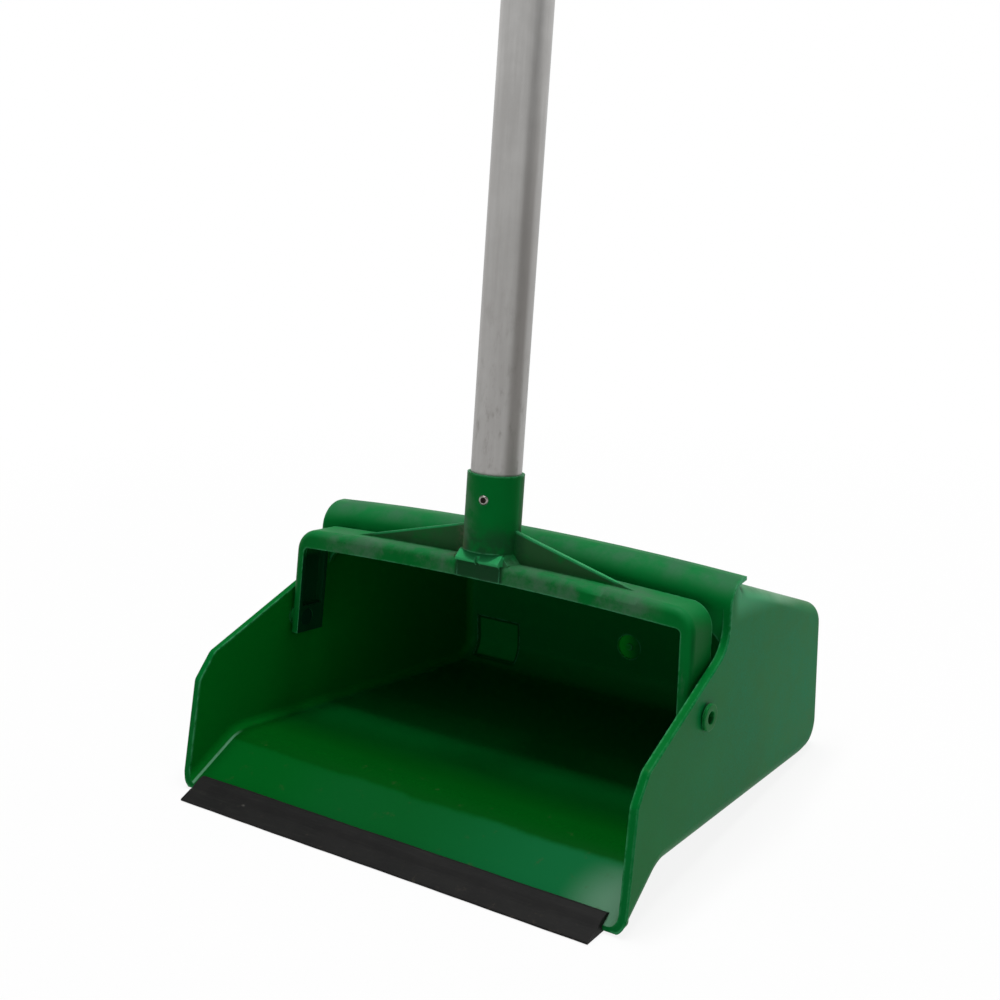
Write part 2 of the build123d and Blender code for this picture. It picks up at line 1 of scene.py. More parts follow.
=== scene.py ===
# %% [markdown]
# A lobby dustpan, dressed on its CAD frame
#
# The pan, its yoke and the handle come from the CAD model, in metres, with X to the right, Y to the back
# and Z up. The big mouldings keep their CAD form and get a finish. The turned and the soft pieces are drawn
# again here as finer surfaces, each worked out as one numpy array, and they stand exactly where the CAD
# pieces stood.

# %% Tools and the CAD frame
import json
import math
from types import SimpleNamespace

import bmesh
import bpy
import numpy as np
from mathutils import Matrix, Vector


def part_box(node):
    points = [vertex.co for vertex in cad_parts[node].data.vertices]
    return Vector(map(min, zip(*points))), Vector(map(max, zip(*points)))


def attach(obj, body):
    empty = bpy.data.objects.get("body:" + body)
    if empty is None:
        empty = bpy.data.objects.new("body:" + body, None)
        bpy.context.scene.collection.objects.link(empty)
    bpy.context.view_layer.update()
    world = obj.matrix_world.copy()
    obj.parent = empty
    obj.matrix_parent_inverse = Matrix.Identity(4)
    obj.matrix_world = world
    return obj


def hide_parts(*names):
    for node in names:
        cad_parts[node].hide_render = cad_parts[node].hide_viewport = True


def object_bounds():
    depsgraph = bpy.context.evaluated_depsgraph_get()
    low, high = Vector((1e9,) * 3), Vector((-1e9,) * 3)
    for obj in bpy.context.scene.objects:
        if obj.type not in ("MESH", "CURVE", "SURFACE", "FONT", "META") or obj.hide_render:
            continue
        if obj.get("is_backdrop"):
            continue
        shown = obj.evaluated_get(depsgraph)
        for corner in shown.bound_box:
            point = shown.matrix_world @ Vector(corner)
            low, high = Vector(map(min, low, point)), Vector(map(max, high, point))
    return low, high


bpy.context.scene.view_settings.view_transform = "Standard"
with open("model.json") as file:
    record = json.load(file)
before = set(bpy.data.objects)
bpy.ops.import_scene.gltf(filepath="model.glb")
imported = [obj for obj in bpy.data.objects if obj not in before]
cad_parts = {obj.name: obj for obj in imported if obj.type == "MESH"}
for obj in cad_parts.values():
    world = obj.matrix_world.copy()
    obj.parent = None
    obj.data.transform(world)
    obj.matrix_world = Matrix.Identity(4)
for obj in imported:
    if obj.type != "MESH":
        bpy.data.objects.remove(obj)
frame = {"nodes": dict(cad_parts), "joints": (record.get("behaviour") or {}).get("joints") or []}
cad_low, cad_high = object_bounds()
MM = 0.001
print("CAD pieces:", sorted(frame["nodes"]))
print("CAD box in mm:", np.round((np.array(cad_high) - np.array(cad_low)) / MM, 1))

# %% [markdown]
# The camera
#
# A product photo is easiest to match when the camera is solved first. This one stands to the right of the
# pan's mouth and looks down a little. Azimuth and elevation give the axis it looks along, and the lens is a
# short telephoto on a 36 mm sensor. The picture is square, and the lens needs no shift.

# %% Camera
AZIMUTH = math.radians(34.15)
ELEVATION = math.radians(15.45)
CAMERA_AT = np.array([409.89, -617.27, 350.45]) * MM
LENS = 55.94
SENSOR = 36.0


def looking_from(azimuth, elevation):
    """Rows are right, up and back: back points at the camera, right is level, up is back cross right."""
    level = math.cos(elevation)
    back = np.array([math.sin(azimuth) * level, -math.cos(azimuth) * level, math.sin(elevation)])
    right = np.array([math.cos(azimuth), math.sin(azimuth), 0.0])
    return np.stack([right, np.cross(back, right), back])


camera = bpy.data.objects.new("camera", bpy.data.cameras.new("camera"))
bpy.context.scene.collection.objects.link(camera)
camera.data.lens = LENS
camera.data.sensor_width = SENSOR
pose = np.eye(4)
pose[:3, :3] = looking_from(AZIMUTH, ELEVATION).T
pose[:3, 3] = CAMERA_AT
camera.matrix_world = Matrix(pose.tolist())
bpy.context.scene.camera = camera
print("camera at", np.round(CAMERA_AT, 3), "lens", LENS)

# %% [markdown]
# Shader nodes in one line each
#
# A finish is a small network of nodes. Writing every link by hand hides what the network says, so one
# helper adds a node, sets its choices and fills its sockets, where a socket of another node makes a link
# and a value is just set.

# %% Adding nodes


def finish(name):
    """An empty material with its node tree and its main shader."""
    material = bpy.data.materials.new(name)
    material.use_nodes = True
    return material, material.node_tree, material.node_tree.nodes["Principled BSDF"]


def put(tree, kind, sockets=None, **choices):
    """Adds one node: choices are its settings, sockets are values or outputs of other nodes."""
    made = tree.nodes.new("ShaderNode" + kind)
    for key, value in choices.items():
        setattr(made, key, value)
    wire(tree, made, sockets or {})
    return made


def wire(tree, made, sockets):
    """Fills a node's inputs: a socket of another node is linked, anything else is set as a value."""
    for key, value in sockets.items():
        if isinstance(value, bpy.types.NodeSocket):
            tree.links.new(value, made.inputs[key])
        else:
            made.inputs[key].default_value = value


print("nodes can be added and wired")

# %% [markdown]
# Places as numbers from 0 to 1
#
# Dirt and wear sit in places: on the roof, along an edge, round the socket's foot. A place is a number for
# every point of the surface, 1 inside and 0 outside. Soft steps and windows on a coordinate make it, a
# product joins several of them, and a cloudy noise breaks it up. Such a number then mixes one colour into
# another.

# %% Steps, windows and mixes


def math_node(tree, operation, first, second):
    """One arithmetic step on two values."""
    return put(tree, "Math", {0: first, 1: second}, operation=operation).outputs[0]


def product(tree, first, *others):
    """All the values multiplied together."""
    for other in others:
        first = math_node(tree, "MULTIPLY", first, other)
    return first


def ramp(tree, source, low, high):
    """Smooth step from 0 at low to 1 at high; it falls where low is above high."""
    ends = {"Value": source, "From Min": low, "From Max": high}
    return put(tree, "MapRange", ends, interpolation_type="SMOOTHSTEP").outputs["Result"]


def ramp_mm(tree, source, low, high):
    """The same step on a length, with its ends in millimetres."""
    return ramp(tree, source, low * MM, high * MM)


def window(tree, source, start, full, full_end, end):
    """1 between full and full_end, falling smoothly to 0 at start and at end."""
    return product(tree, ramp(tree, source, start, full), ramp(tree, source, end, full_end))


def window_mm(tree, source, *steps):
    """The same window on a length, with its four steps in millimetres."""
    return window(tree, source, *[step * MM for step in steps])


def between(tree, source, low, high):
    """Straight line from low at 0 to high at 1."""
    return put(tree, "MapRange", {"Value": source, "To Min": low, "To Max": high}).outputs["Result"]


def blend(tree, share, first, second):
    """Colour that goes from the first to the second as share goes from 0 to 1."""
    return put(tree, "Mix", {0: share, 6: first, 7: second}, data_type="RGBA").outputs[2]


print("a step or a window is one call")

# %% Noise and positions


def noise(tree, place, scale, detail=4.0, roughness=0.55):
    """Cloudy noise, scale in lumps per metre."""
    sockets = {"Vector": place, "Scale": scale, "Detail": detail, "Roughness": roughness}
    return put(tree, "TexNoise", sockets).outputs[0]


def stretched(tree, place, scale):
    """Coordinates scaled along each axis: a small factor draws a noise out along that axis."""
    return put(tree, "Mapping", {"Vector": place, "Scale": scale}).outputs[0]


def distance_to(tree, place, point):
    """Distance from a fixed point."""
    return put(tree, "VectorMath", {0: place, 1: point.tolist()}, operation="DISTANCE").outputs["Value"]


def located(tree, turn=None):
    """Where a point lies and which way it faces.

    place is the point, stood the same point after an optional turn, x, y and z are the parts of stood,
    and across, along and up are the parts of the surface's own direction.
    """
    where = put(tree, "TexCoord").outputs
    place = where["Object"]
    stood = turn(tree, place) if turn else place
    x, y, z = put(tree, "SeparateXYZ", {0: stood}).outputs[:3]
    across, along, up = put(tree, "SeparateXYZ", {0: where["Normal"]}).outputs[:3]
    return SimpleNamespace(place=place, stood=stood, x=x, y=y, z=z, across=across, along=along, up=up)


print("positions are read from Object coordinates")

# %% [markdown]
# Green moulded plastic
#
# Polypropylene takes a strong colour all the way through, so the green is in the base colour and the shine
# is weak. What keeps it from looking like paint: the colour drifts slightly from place to place, a fine
# grain from the mould breaks up the gloss, edges are rubbed pale, and inner corners are darkened with dirt
# and painted shade. Edges and corners could be painted by hand on a UV map. Here they are found from the
# shape itself, so a change in the CAD model needs no new painting.

# %% Greens and dirt
GREEN = (0.0006, 0.152, 0.0250, 1.0)
GREEN_DEEP = (0.0004, 0.130, 0.0190, 1.0)
RUBBED = (0.080, 0.390, 0.180, 1.0)
# Dirt and painted shade in inner corners
CORNER_DIRT_AND_SHADE = (0.0020, 0.060, 0.0100, 1.0)
# Painted sheen on upward faces
PAINTED_TOP_SHEEN = (0.0120, 0.190, 0.0520, 1.0)
DUST = (0.062, 0.154, 0.084, 1.0)
GRIME = (0.021, 0.086, 0.028, 1.0)
SOIL = (0.105, 0.120, 0.072, 1.0)
# Near-black painted shade in hollows
HOLLOW_SHADE = (0.001, 0.022, 0.009, 1.0)


def drifting_green(tree, place):
    """Green mixed with a deeper green by a noise of hand size."""
    return blend(tree, ramp(tree, noise(tree, place, 14.0), 0.3, 0.7), GREEN, GREEN_DEEP)


print("green", GREEN[:3], "deep", GREEN_DEEP[:3])

# %% Edges and corners


def edges_and_corners(tree, place, reach):
    """Softened normal, rubbed edges, and inner corners for dirt and painted shade.

    Looking into the material, a third of the rays leave it within reach at an outer edge and none on a
    thicker wall. Looking out, the surface hides itself within 8 mm in an inner corner and nowhere else.
    """
    local = {"samples": 6, "only_local": True}
    soft = put(tree, "Bevel", {"Radius": 0.6 * MM}, samples=6).outputs["Normal"]
    within = put(tree, "AmbientOcclusion", {"Distance": reach}, inside=True, **local).outputs["AO"]
    sky = put(tree, "AmbientOcclusion", {"Distance": 8.0 * MM}, **local).outputs["AO"]
    broken = ramp(tree, noise(tree, place, 220.0, 5.0, 0.65), 0.34, 0.60)
    rubbed = product(tree, ramp(tree, within, 0.88, 0.66), broken)
    return soft, rubbed, ramp(tree, sky, 0.80, 0.35)


def plastic_skin(tree, shader, place, colour, cover, soft, gloss, shine):
    """Joins a colour to the shader.

    A mould grain goes into the roughness, about gloss, and into the relief. Dirt cover adds roughness.
    shine is how strongly the surface mirrors, and the mirrored light is tinted green.
    """
    grain = noise(tree, place, 1500.0, 2.0, 0.5)
    rough = between(tree, grain, gloss - 0.05, gloss + 0.07)
    rough = math_node(tree, "ADD", rough, product(tree, cover, 0.25))
    relief = put(tree, "Bump", {"Strength": 0.12, "Distance": 0.05 * MM, "Height": grain, "Normal": soft})
    wire(tree, shader, {"Base Color": colour, "Roughness": rough, "Normal": relief.outputs["Normal"],
                        "Specular IOR Level": shine, "Specular Tint": (0.40, 1.0, 0.70, 1.0)})


print("rubbed edges", RUBBED[:3], "sheltered corners", CORNER_DIRT_AND_SHADE[:3])

# %% [markdown]
# The pan from outside
#
# A pan in use is not evenly dirty. The outer walls are hazy from rubbing along floors and skirting, more so
# to the rear. The roof gets a painted sheen in lumps, brightest at the right end, and its rounded shoulder
# behind the hood gets a pale painted highlight. The hood's top gets a painted sheen, with dust in patches.
# An image could be painted over the unwrapped pan for this. Windows on the coordinates need no unwrapping
# and stay sharp at any distance.

# %% Pan outside
WALL_HAZE = (0.014, 0.215, 0.105, 1.0)
# Painted sheen on the roof, brighter at its right end, and a painted highlight on its shoulder
ROOF_SHEEN = (0.120, 0.240, 0.145, 1.0)
ROOF_SHEEN_RIGHT = (0.175, 0.370, 0.220, 1.0)
SHOULDER_HIGHLIGHT = (0.060, 0.360, 0.160, 1.0)
HOOD_DUST = (0.046, 0.152, 0.077, 1.0)
ROOF_FALL = 0.16


def pan_outside(tree, at, colour):
    """Hazy walls, painted sheen on roof and hood top, painted shoulder highlight, dusty hood; also returns
    how dusty a point is.
    """
    outward = ramp_mm(tree, product(tree, at.x, at.across), 50, 110)
    clouds = ramp(tree, noise(tree, at.place, 38.0, 6.0, 0.7), 0.10, 0.80)
    speckle = ramp(tree, noise(tree, at.place, 1100.0, 2.0, 0.5), 0.10, 0.80)
    haze = product(tree, outward, clouds, 0.9, speckle, ramp_mm(tree, at.y, -180, 100))
    colour = blend(tree, haze, colour, WALL_HAZE)
    lumps = ramp(tree, noise(tree, at.place, 30.0, 6.0, 0.65), 0.10, 0.66)
    roof = product(tree, ramp_mm(tree, at.z, 85, 100), ramp_mm(tree, at.y, 6, 18),
                   ramp(tree, at.up, 0.2, 0.6))
    # painted sheen on the roof, brighter towards its right end
    sheen_colour = blend(tree, ramp_mm(tree, at.x, 70, 118), ROOF_SHEEN, ROOF_SHEEN_RIGHT)
    colour = blend(tree, product(tree, roof, lumps, 0.72), colour, sheen_colour)
    # painted highlight on the roof's rounded shoulder
    with_roof = math_node(tree, "ADD", at.z, product(tree, at.y, ROOF_FALL))
    shoulder = product(tree, outward, ramp_mm(tree, with_roof, 104.5, 116.5),
                       ramp_mm(tree, at.y, -2, 6), 0.85)
    colour = blend(tree, shoulder, colour, SHOULDER_HIGHLIGHT)
    high = ramp_mm(tree, at.z, 98, 122)
    # painted sheen on the hood's upward faces
    colour = blend(tree, product(tree, high, ramp(tree, at.up, 0.2, 0.9), 0.7), colour, PAINTED_TOP_SHEEN)
    patches = ramp(tree, noise(tree, at.place, 48.0, 6.0, 0.65), 0.34, 0.66)
    lying = product(tree, high, ramp(tree, at.up, 0.35, 0.98), patches, 0.80)
    colour = blend(tree, lying, colour, HOOD_DUST)
    return colour, math_node(tree, "ADD", lying, haze)


print("pan outside: haze", WALL_HAZE[:3], "dust", HOOD_DUST[:3])

# %% [markdown]
# The pan from inside
#
# The floor and the ramp take a deeper green. The flat of the ramp gets a painted sheen, which grows to the
# right. Where the flat ends, the sheen stops in a slightly wandering line, and behind it the deepest green is
# painted shade. The inner faces of the walls are clean and a little yellower.

# %% Pan inside
FLOOR_GREEN = (0.0003, 0.118, 0.016, 1.0)
# Painted shade behind the ramp's crest
SHADE_BEHIND_RAMP = (0.0002, 0.060, 0.0030, 1.0)
# Painted sheen on the ramp's flat, from left to right
RAMP_SHEEN_LEFT = (0.0006, 0.092, 0.0095, 1.0)
RAMP_SHEEN_MIDDLE = (0.0026, 0.092, 0.0160, 1.0)
RAMP_SHEEN_RIGHT = (0.0052, 0.128, 0.0390, 1.0)
INNER_WALL = (0.0004, 0.144, 0.012, 1.0)


def pan_inside(tree, at, colour):
    """Deeper green floor, painted shade behind the ramp, painted sheen on its flat, and clean inner walls."""
    floor_and_ramp = product(tree, ramp_mm(tree, at.z, 40, 25), ramp(tree, at.up, 0.10, 0.40))
    colour = blend(tree, product(tree, floor_and_ramp, 0.85), colour, FLOOR_GREEN)
    wandering = math_node(tree, "ADD", at.y, product(tree, noise(tree, at.place, 40.0), 4 * MM))
    # painted shade behind the ramp, past a wandering line
    behind = product(tree, floor_and_ramp, window_mm(tree, wandering, -84, -79, -58, -8), 0.90)
    colour = blend(tree, behind, colour, SHADE_BEHIND_RAMP)
    # painted sheen on the ramp's flat, stronger to the right
    sheen_colour = blend(tree, ramp_mm(tree, at.x, -85, -30), RAMP_SHEEN_LEFT, RAMP_SHEEN_MIDDLE)
    sheen_colour = blend(tree, ramp_mm(tree, at.x, -10, 100), sheen_colour, RAMP_SHEEN_RIGHT)
    colour = blend(tree, product(tree, floor_and_ramp, ramp_mm(tree, wandering, -79, -82.5), 0.9), colour, sheen_colour)
    inward = ramp_mm(tree, product(tree, at.x, at.across), -30, -90)
    return blend(tree, inward, colour, INNER_WALL)


print("pan inside: floor", FLOOR_GREEN[:3], "inner walls", INNER_WALL[:3])

# %% [markdown]
# The pan's front
#
# The front is what meets the floor. Its right corner gets a pale painted highlight, a bright painted
# highlight runs up the fillet between ramp and left wall, and a few specks of soil stay on the ramp. The
# corner is a distance from a point. The fillet is picked out by the way it faces, because no coordinate alone
# follows it.

# %% Pan front
# Painted highlights on the right front corner and along the left fillet
CORNER_HIGHLIGHT = (0.135, 0.265, 0.180, 1.0)
FILLET_HIGHLIGHT = (0.120, 0.340, 0.190, 1.0)
SPECK = (0.050, 0.080, 0.030, 1.0)
FRONT_CORNER = np.array([120.0, -103.0, 10.0]) * MM


def pan_front(tree, at, colour):
    """Painted highlights on the right corner and along the left fillet, and specks of soil on the ramp."""
    # painted highlight on the right front corner
    near = ramp_mm(tree, distance_to(tree, at.place, FRONT_CORNER), 31, 4)
    painted_highlight = product(tree, near, ramp_mm(tree, at.y, -81, -87), ramp(tree, at.up, 0.3, 0.6), 0.74)
    colour = blend(tree, painted_highlight, colour, CORNER_HIGHLIGHT)
    # painted highlight along the fillet between ramp and left wall
    facing = window(tree, at.across, 0.20, 0.32, 0.44, 0.56)
    line = product(tree, facing, ramp_mm(tree, at.x, -95, -103), ramp_mm(tree, at.z, 40, 30),
                   window_mm(tree, at.y, -114, -108, -84, -74), 0.9)
    colour = blend(tree, line, colour, FILLET_HIGHLIGHT)
    specks = ramp(tree, noise(tree, at.place, 130.0, 4.0, 0.6), 0.62, 0.80)
    specks = product(tree, specks, ramp_mm(tree, at.y, -50, -75), ramp(tree, at.up, 0.3, 0.7), 0.5)
    return blend(tree, specks, colour, SPECK)


print("polished corner at", np.round(FRONT_CORNER / MM, 1), "mm")

# %% [markdown]
# Marks of the mould
#
# The inside of the rear wall shows how the pan was made. The melt entered through a gate, which leaves a
# round disc, with a painted highlight on its left side. Further left is the outline of a plate that could be
# changed in the mould, with painted shade in its groove. The CAD model has both as shallow forms, and the
# colour follows them.

# %% Mould marks
GATE = np.array([0.0, 119.3, 30.5]) * MM
# Painted highlight on the gate disc's left side, and painted shade in the plate's groove
GATE_HIGHLIGHT = (0.002, 0.50, 0.030, 1.0)
GROOVE_SHADE = (0.0002, 0.050, 0.006, 1.0)
PLATE_GREEN = (0.0010, 0.200, 0.030, 1.0)
PLATE_ACROSS = (-107.2, -74.8)
PLATE_UP = (3.0, 30.2)
PLATE_SOFT = 1.2
GROOVE_WIDTH = 2.2


def on_plate(tree, at, inset):
    """1 on the plate, less an inset in mm all round, with soft edges."""
    sides = []
    for source, ends in ((at.x, PLATE_ACROSS), (at.z, PLATE_UP)):
        low, high = ends[0] + inset, ends[1] - inset
        sides.append(window_mm(tree, source, low, low + PLATE_SOFT, high - PLATE_SOFT, high))
    return product(tree, *sides)


def pan_marks(tree, at, colour):
    """Painted highlight on the gate disc's left side, painted shade in the plate's groove, its paler middle;
    inside only.
    """
    disc = ramp_mm(tree, distance_to(tree, at.place, GATE), 8.0, 6.8)
    # painted highlight on the left side of the gate's disc
    gate = product(tree, disc, ramp_mm(tree, at.x, 6, -6), ramp(tree, at.along, 0.5, 0.2))
    colour = blend(tree, gate, colour, GATE_HIGHLIGHT)
    rear = product(tree, ramp_mm(tree, at.y, 100, 106), ramp(tree, at.along, -0.3, -0.6))
    # painted shade in the plate's outline groove
    colour = blend(tree, product(tree, rear, on_plate(tree, at, 0.0), 0.7), colour, GROOVE_SHADE)
    return blend(tree, product(tree, rear, on_plate(tree, at, GROOVE_WIDTH)), colour, PLATE_GREEN)


print("gate at", np.round(GATE / MM, 1), "mm, plate across", PLATE_ACROSS, "mm")

# %% [markdown]
# The pan's whole finish
#
# Layers cover one another as coats of paint do, so their order counts: the wide ones come first, then the
# small marks, and rubbed edges last, because wear takes off whatever lies there. One function runs through
# the layers in that order.

# %% Pan finish


def pan_finish(name):
    """Green plastic with outside, inside, front and mould marks over it in turn, then corners and edges."""
    material, tree, shader = finish(name)
    at = located(tree)
    soft, rubbed, corner = edges_and_corners(tree, at.place, 1.5 * MM)
    colour, dusty = pan_outside(tree, at, drifting_green(tree, at.place))
    for layer in (pan_inside, pan_front, pan_marks):
        colour = layer(tree, at, colour)
    # dirt and painted shade in inner corners
    colour = blend(tree, product(tree, corner, 0.35), colour, CORNER_DIRT_AND_SHADE)
    colour = blend(tree, product(tree, rubbed, 0.48), colour, RUBBED)
    plastic_skin(tree, shader, at.place, colour, dusty, soft, gloss=0.34, shine=0.03)
    return material


pan_green = pan_finish("pan_green")
print("pan finish has", len(pan_green.node_tree.nodes), "nodes")

# %% [markdown]
# The handle's own frame
#
# The handle leans back on the hinge at rest. Its pieces are easiest to draw upright about the hinge axis
# and to lean back afterwards, with the same lean as in the CAD model. Finishes on the handle use the same
# upright frame, through a Mapping node that undoes the lean, so a band of dirt runs level round the socket.

# %% Handle frame
LEAN = math.radians(6.8)
HINGE = np.array(frame["joints"][0]["pos_m"])
TUBE_AXIS = 3.3 * MM
COSINE, SINE = math.cos(LEAN), math.sin(LEAN)
LEANING = np.array([[1.0, 0.0, 0.0], [0.0, COSINE, SINE], [0.0, -SINE, COSINE]])


def leaned(points):
    """Turns upright points back about the hinge's X axis and moves them to the hinge."""
    return points @ LEANING.T + HINGE


def upright(tree, place):
    """Object coordinates seen from the hinge, with the lean undone."""
    back = -LEANING.T @ HINGE
    turn = {"Vector": place, "Rotation": (LEAN, 0.0, 0.0), "Location": back.tolist()}
    return put(tree, "Mapping", turn).outputs[0]


print("hinge in mm", np.round(HINGE / MM, 1), "lean in degrees", round(math.degrees(LEAN), 2))

# %% [markdown]
# The yoke's bow and gussets
#
# The yoke is the part that hands and floor dirt reach, so it is the dirtiest. Its upper faces get a painted
# sheen like the hood, grey dust lies in patches along the bow, and grime covers the two thin gussets, apart
# from their top edges, which get a bright painted highlight. Such an edge falls in a straight line from the
# socket, so height plus a share of the distance from the middle is the same all along it.

# %% Yoke bow
# Painted highlight on the gussets' top edges
GUSSET_EDGE_HIGHLIGHT = (0.020, 0.330, 0.100, 1.0)
GUSSET_FALL = 0.2567


def yoke_bow(tree, at, colour):
    """Painted sheen on tops, dusty bow, grime on the gussets, painted highlight on their top edges; also
    returns the dust.
    """
    # painted sheen on upward faces
    colour = blend(tree, product(tree, ramp(tree, at.up, 0.2, 0.9), 0.7), colour, PAINTED_TOP_SHEEN)
    patches = ramp(tree, noise(tree, at.place, 42.0, 7.0, 0.68), 0.37, 0.63)
    bow = product(tree, window_mm(tree, at.z, 34, 40, 51.5, 54), patches, ramp_mm(tree, at.aside, 104, 88))
    dusty = product(tree, bow, 0.90)
    colour = blend(tree, dusty, colour, DUST)
    gusset = product(tree, window_mm(tree, at.z, 50, 52, 66, 70), window_mm(tree, at.aside, 13, 17, 81, 85))
    cloudy = ramp(tree, noise(tree, at.place, 70.0, 5.0, 0.6), 0.20, 0.55)
    colour = blend(tree, product(tree, gusset, cloudy, ramp(tree, at.up, 0.7, 0.3)), colour, GRIME)
    # painted highlight along the gussets' top edges
    with_edge = math_node(tree, "ADD", at.z, product(tree, at.aside, GUSSET_FALL))
    bright = product(tree, ramp_mm(tree, with_edge, 68.8, 69.7),
                     window_mm(tree, at.aside, 13.8, 14.5, 70, 74))
    return blend(tree, product(tree, bright, 0.9), colour, GUSSET_EDGE_HIGHLIGHT), dusty


print("gusset edges fall by", GUSSET_FALL, "mm for each mm from the socket")

# %% [markdown]
# The yoke's socket
#
# Dirt gathers where the round socket stands on the bow: dark streaks all round its foot, brown soil on the
# left and grey blotches further up. The pad in front is darker, and its two tabs stick out and get a bright
# painted highlight. All of it is steered by the height above the hinge and the distance from the middle, in
# the upright frame.

# %% Yoke socket
FOOT_DIRT = (0.010, 0.058, 0.020, 1.0)
PAD_DARK = (0.009, 0.046, 0.016, 1.0)
# Painted highlight on the two tabs
TAB_HIGHLIGHT = (0.034, 0.400, 0.130, 1.0)


def yoke_socket(tree, at, colour):
    """Streaks and soil at the foot, darker pad, painted highlight on the tabs, blotches on the left; also
    returns the soil.
    """
    socket = ramp_mm(tree, at.aside, 22, 16.5)
    streaks = ramp(tree, noise(tree, at.stood, 90.0, 6.0, 0.7), 0.34, 0.62)
    tabs = product(tree, ramp_mm(tree, at.aside, 13.4, 12.6), window_mm(tree, at.z, 49.6, 50.3, 54.6, 55.2),
                   ramp_mm(tree, at.y, -4.0, -5.6))
    foot = product(tree, socket, window_mm(tree, at.z, 49.5, 51.5, 60, 74),
                   ramp(tree, tabs, 1.0, 0.0), streaks)
    colour = blend(tree, product(tree, foot, 0.85), colour, FOOT_DIRT)
    soil = product(tree, foot, ramp_mm(tree, at.x, -4, -12), 0.9)
    colour = blend(tree, soil, colour, SOIL)
    # the pad is made darker
    pad = product(tree, ramp_mm(tree, at.aside, 15, 13), window_mm(tree, at.z, 40, 43, 49.5, 50.5),
                  ramp_mm(tree, at.y, -2, -4), 0.9)
    colour = blend(tree, pad, colour, PAD_DARK)
    # painted highlight on the tabs
    colour = blend(tree, product(tree, tabs, 0.9), colour, TAB_HIGHLIGHT)
    lumps = ramp(tree, noise(tree, at.stood, 85.0, 5.0, 0.65), 0.42, 0.62)
    left = product(tree, socket, window_mm(tree, at.z, 58, 64, 74, 100), ramp_mm(tree, at.x, 4, -12))
    return blend(tree, product(tree, left, lumps, 0.7), colour, DUST), soil


print("socket: soil", SOIL[:3], "clean tabs", TAB_HIGHLIGHT[:3])

# %% [markdown]
# The yoke's arms
#
# The arms have pale upright scuffs on their front, from knocks against furniture. Their outer sides run
# close to the walls and get a deeper green of painted shade. The hollow inner side gets a near-black painted
# shade.

# %% Yoke arms
SCUFF = (0.070, 0.185, 0.100, 1.0)
# Painted shade on the arms' outer sides
ARM_SIDE_SHADE = (0.0003, 0.085, 0.0120, 1.0)


def yoke_arms(tree, at, colour):
    """Scuffed fronts, painted shade on outer sides and in hollow inner sides; also returns the hollow."""
    smears = noise(tree, stretched(tree, at.stood, (1.0, 1.0, 0.30)), 120.0, 5.0, 0.65)
    front = product(tree, ramp_mm(tree, at.aside, 100, 112), ramp_mm(tree, at.z, 0, 10),
                    ramp(tree, at.along, -0.15, -0.55))
    colour = blend(tree, product(tree, ramp(tree, smears, 0.54, 0.70), front, 0.35), colour, SCUFF)
    # painted shade on the outer sides, next to the walls
    outward = ramp_mm(tree, product(tree, at.x, at.across), 60, 100)
    outer = product(tree, outward, ramp_mm(tree, at.z, 50, 34), 0.7)
    colour = blend(tree, outer, colour, ARM_SIDE_SHADE)
    # near-black painted shade in the hollow inner sides
    away = math_node(tree, "MAXIMUM", ramp(tree, at.along, -0.7, -0.4), ramp_mm(tree, at.y, 4, 8))
    arm = window_mm(tree, at.aside, 95, 102, 115.0, 116.8)
    hollow = product(tree, arm, ramp_mm(tree, at.z, 38, 32), away, 0.88)
    return blend(tree, hollow, colour, HOLLOW_SHADE), hollow


print("arms: scuffs", SCUFF[:3], "hollow", HOLLOW_SHADE[:3])

# %% [markdown]
# The yoke's whole finish
#
# The order is the same as on the pan. The hollow is kept out of the rubbed edges, because nothing touches it.

# %% Yoke finish


def yoke_finish(name):
    """Green plastic with bow, socket and arms laid over it in turn, then corners and edges."""
    material, tree, shader = finish(name)
    at = located(tree, upright)
    at.aside = math_node(tree, "ABSOLUTE", at.x, 0.0)
    soft, rubbed, corner = edges_and_corners(tree, at.place, 1.1 * MM)
    colour, dusty = yoke_bow(tree, at, drifting_green(tree, at.place))
    colour, soil = yoke_socket(tree, at, colour)
    colour, hollow = yoke_arms(tree, at, colour)
    # dirt and painted shade in inner corners
    colour = blend(tree, product(tree, corner, 0.40), colour, CORNER_DIRT_AND_SHADE)
    colour = blend(tree, product(tree, rubbed, ramp(tree, hollow, 0.5, 0.0), 0.50), colour, RUBBED)
    cover = math_node(tree, "MAXIMUM", dusty, soil)
    plastic_skin(tree, shader, at.place, colour, cover, soft, gloss=0.44, shine=0.05)
    return material


yoke_green = yoke_finish("yoke_green")
print("yoke finish has", len(yoke_green.node_tree.nodes), "nodes")

# %% [markdown]
# Small green pieces
#
# Studs and hand grip are of the same plastic, without the floor dirt. The grip is dulled by hands, both are
# rubbed along their edges, and the studs' inner ends, in the hollow of the arms, get the same near-black
# painted shade. So one recipe serves for them, with another gloss and more or less wear.

# %% Stud and grip finishes


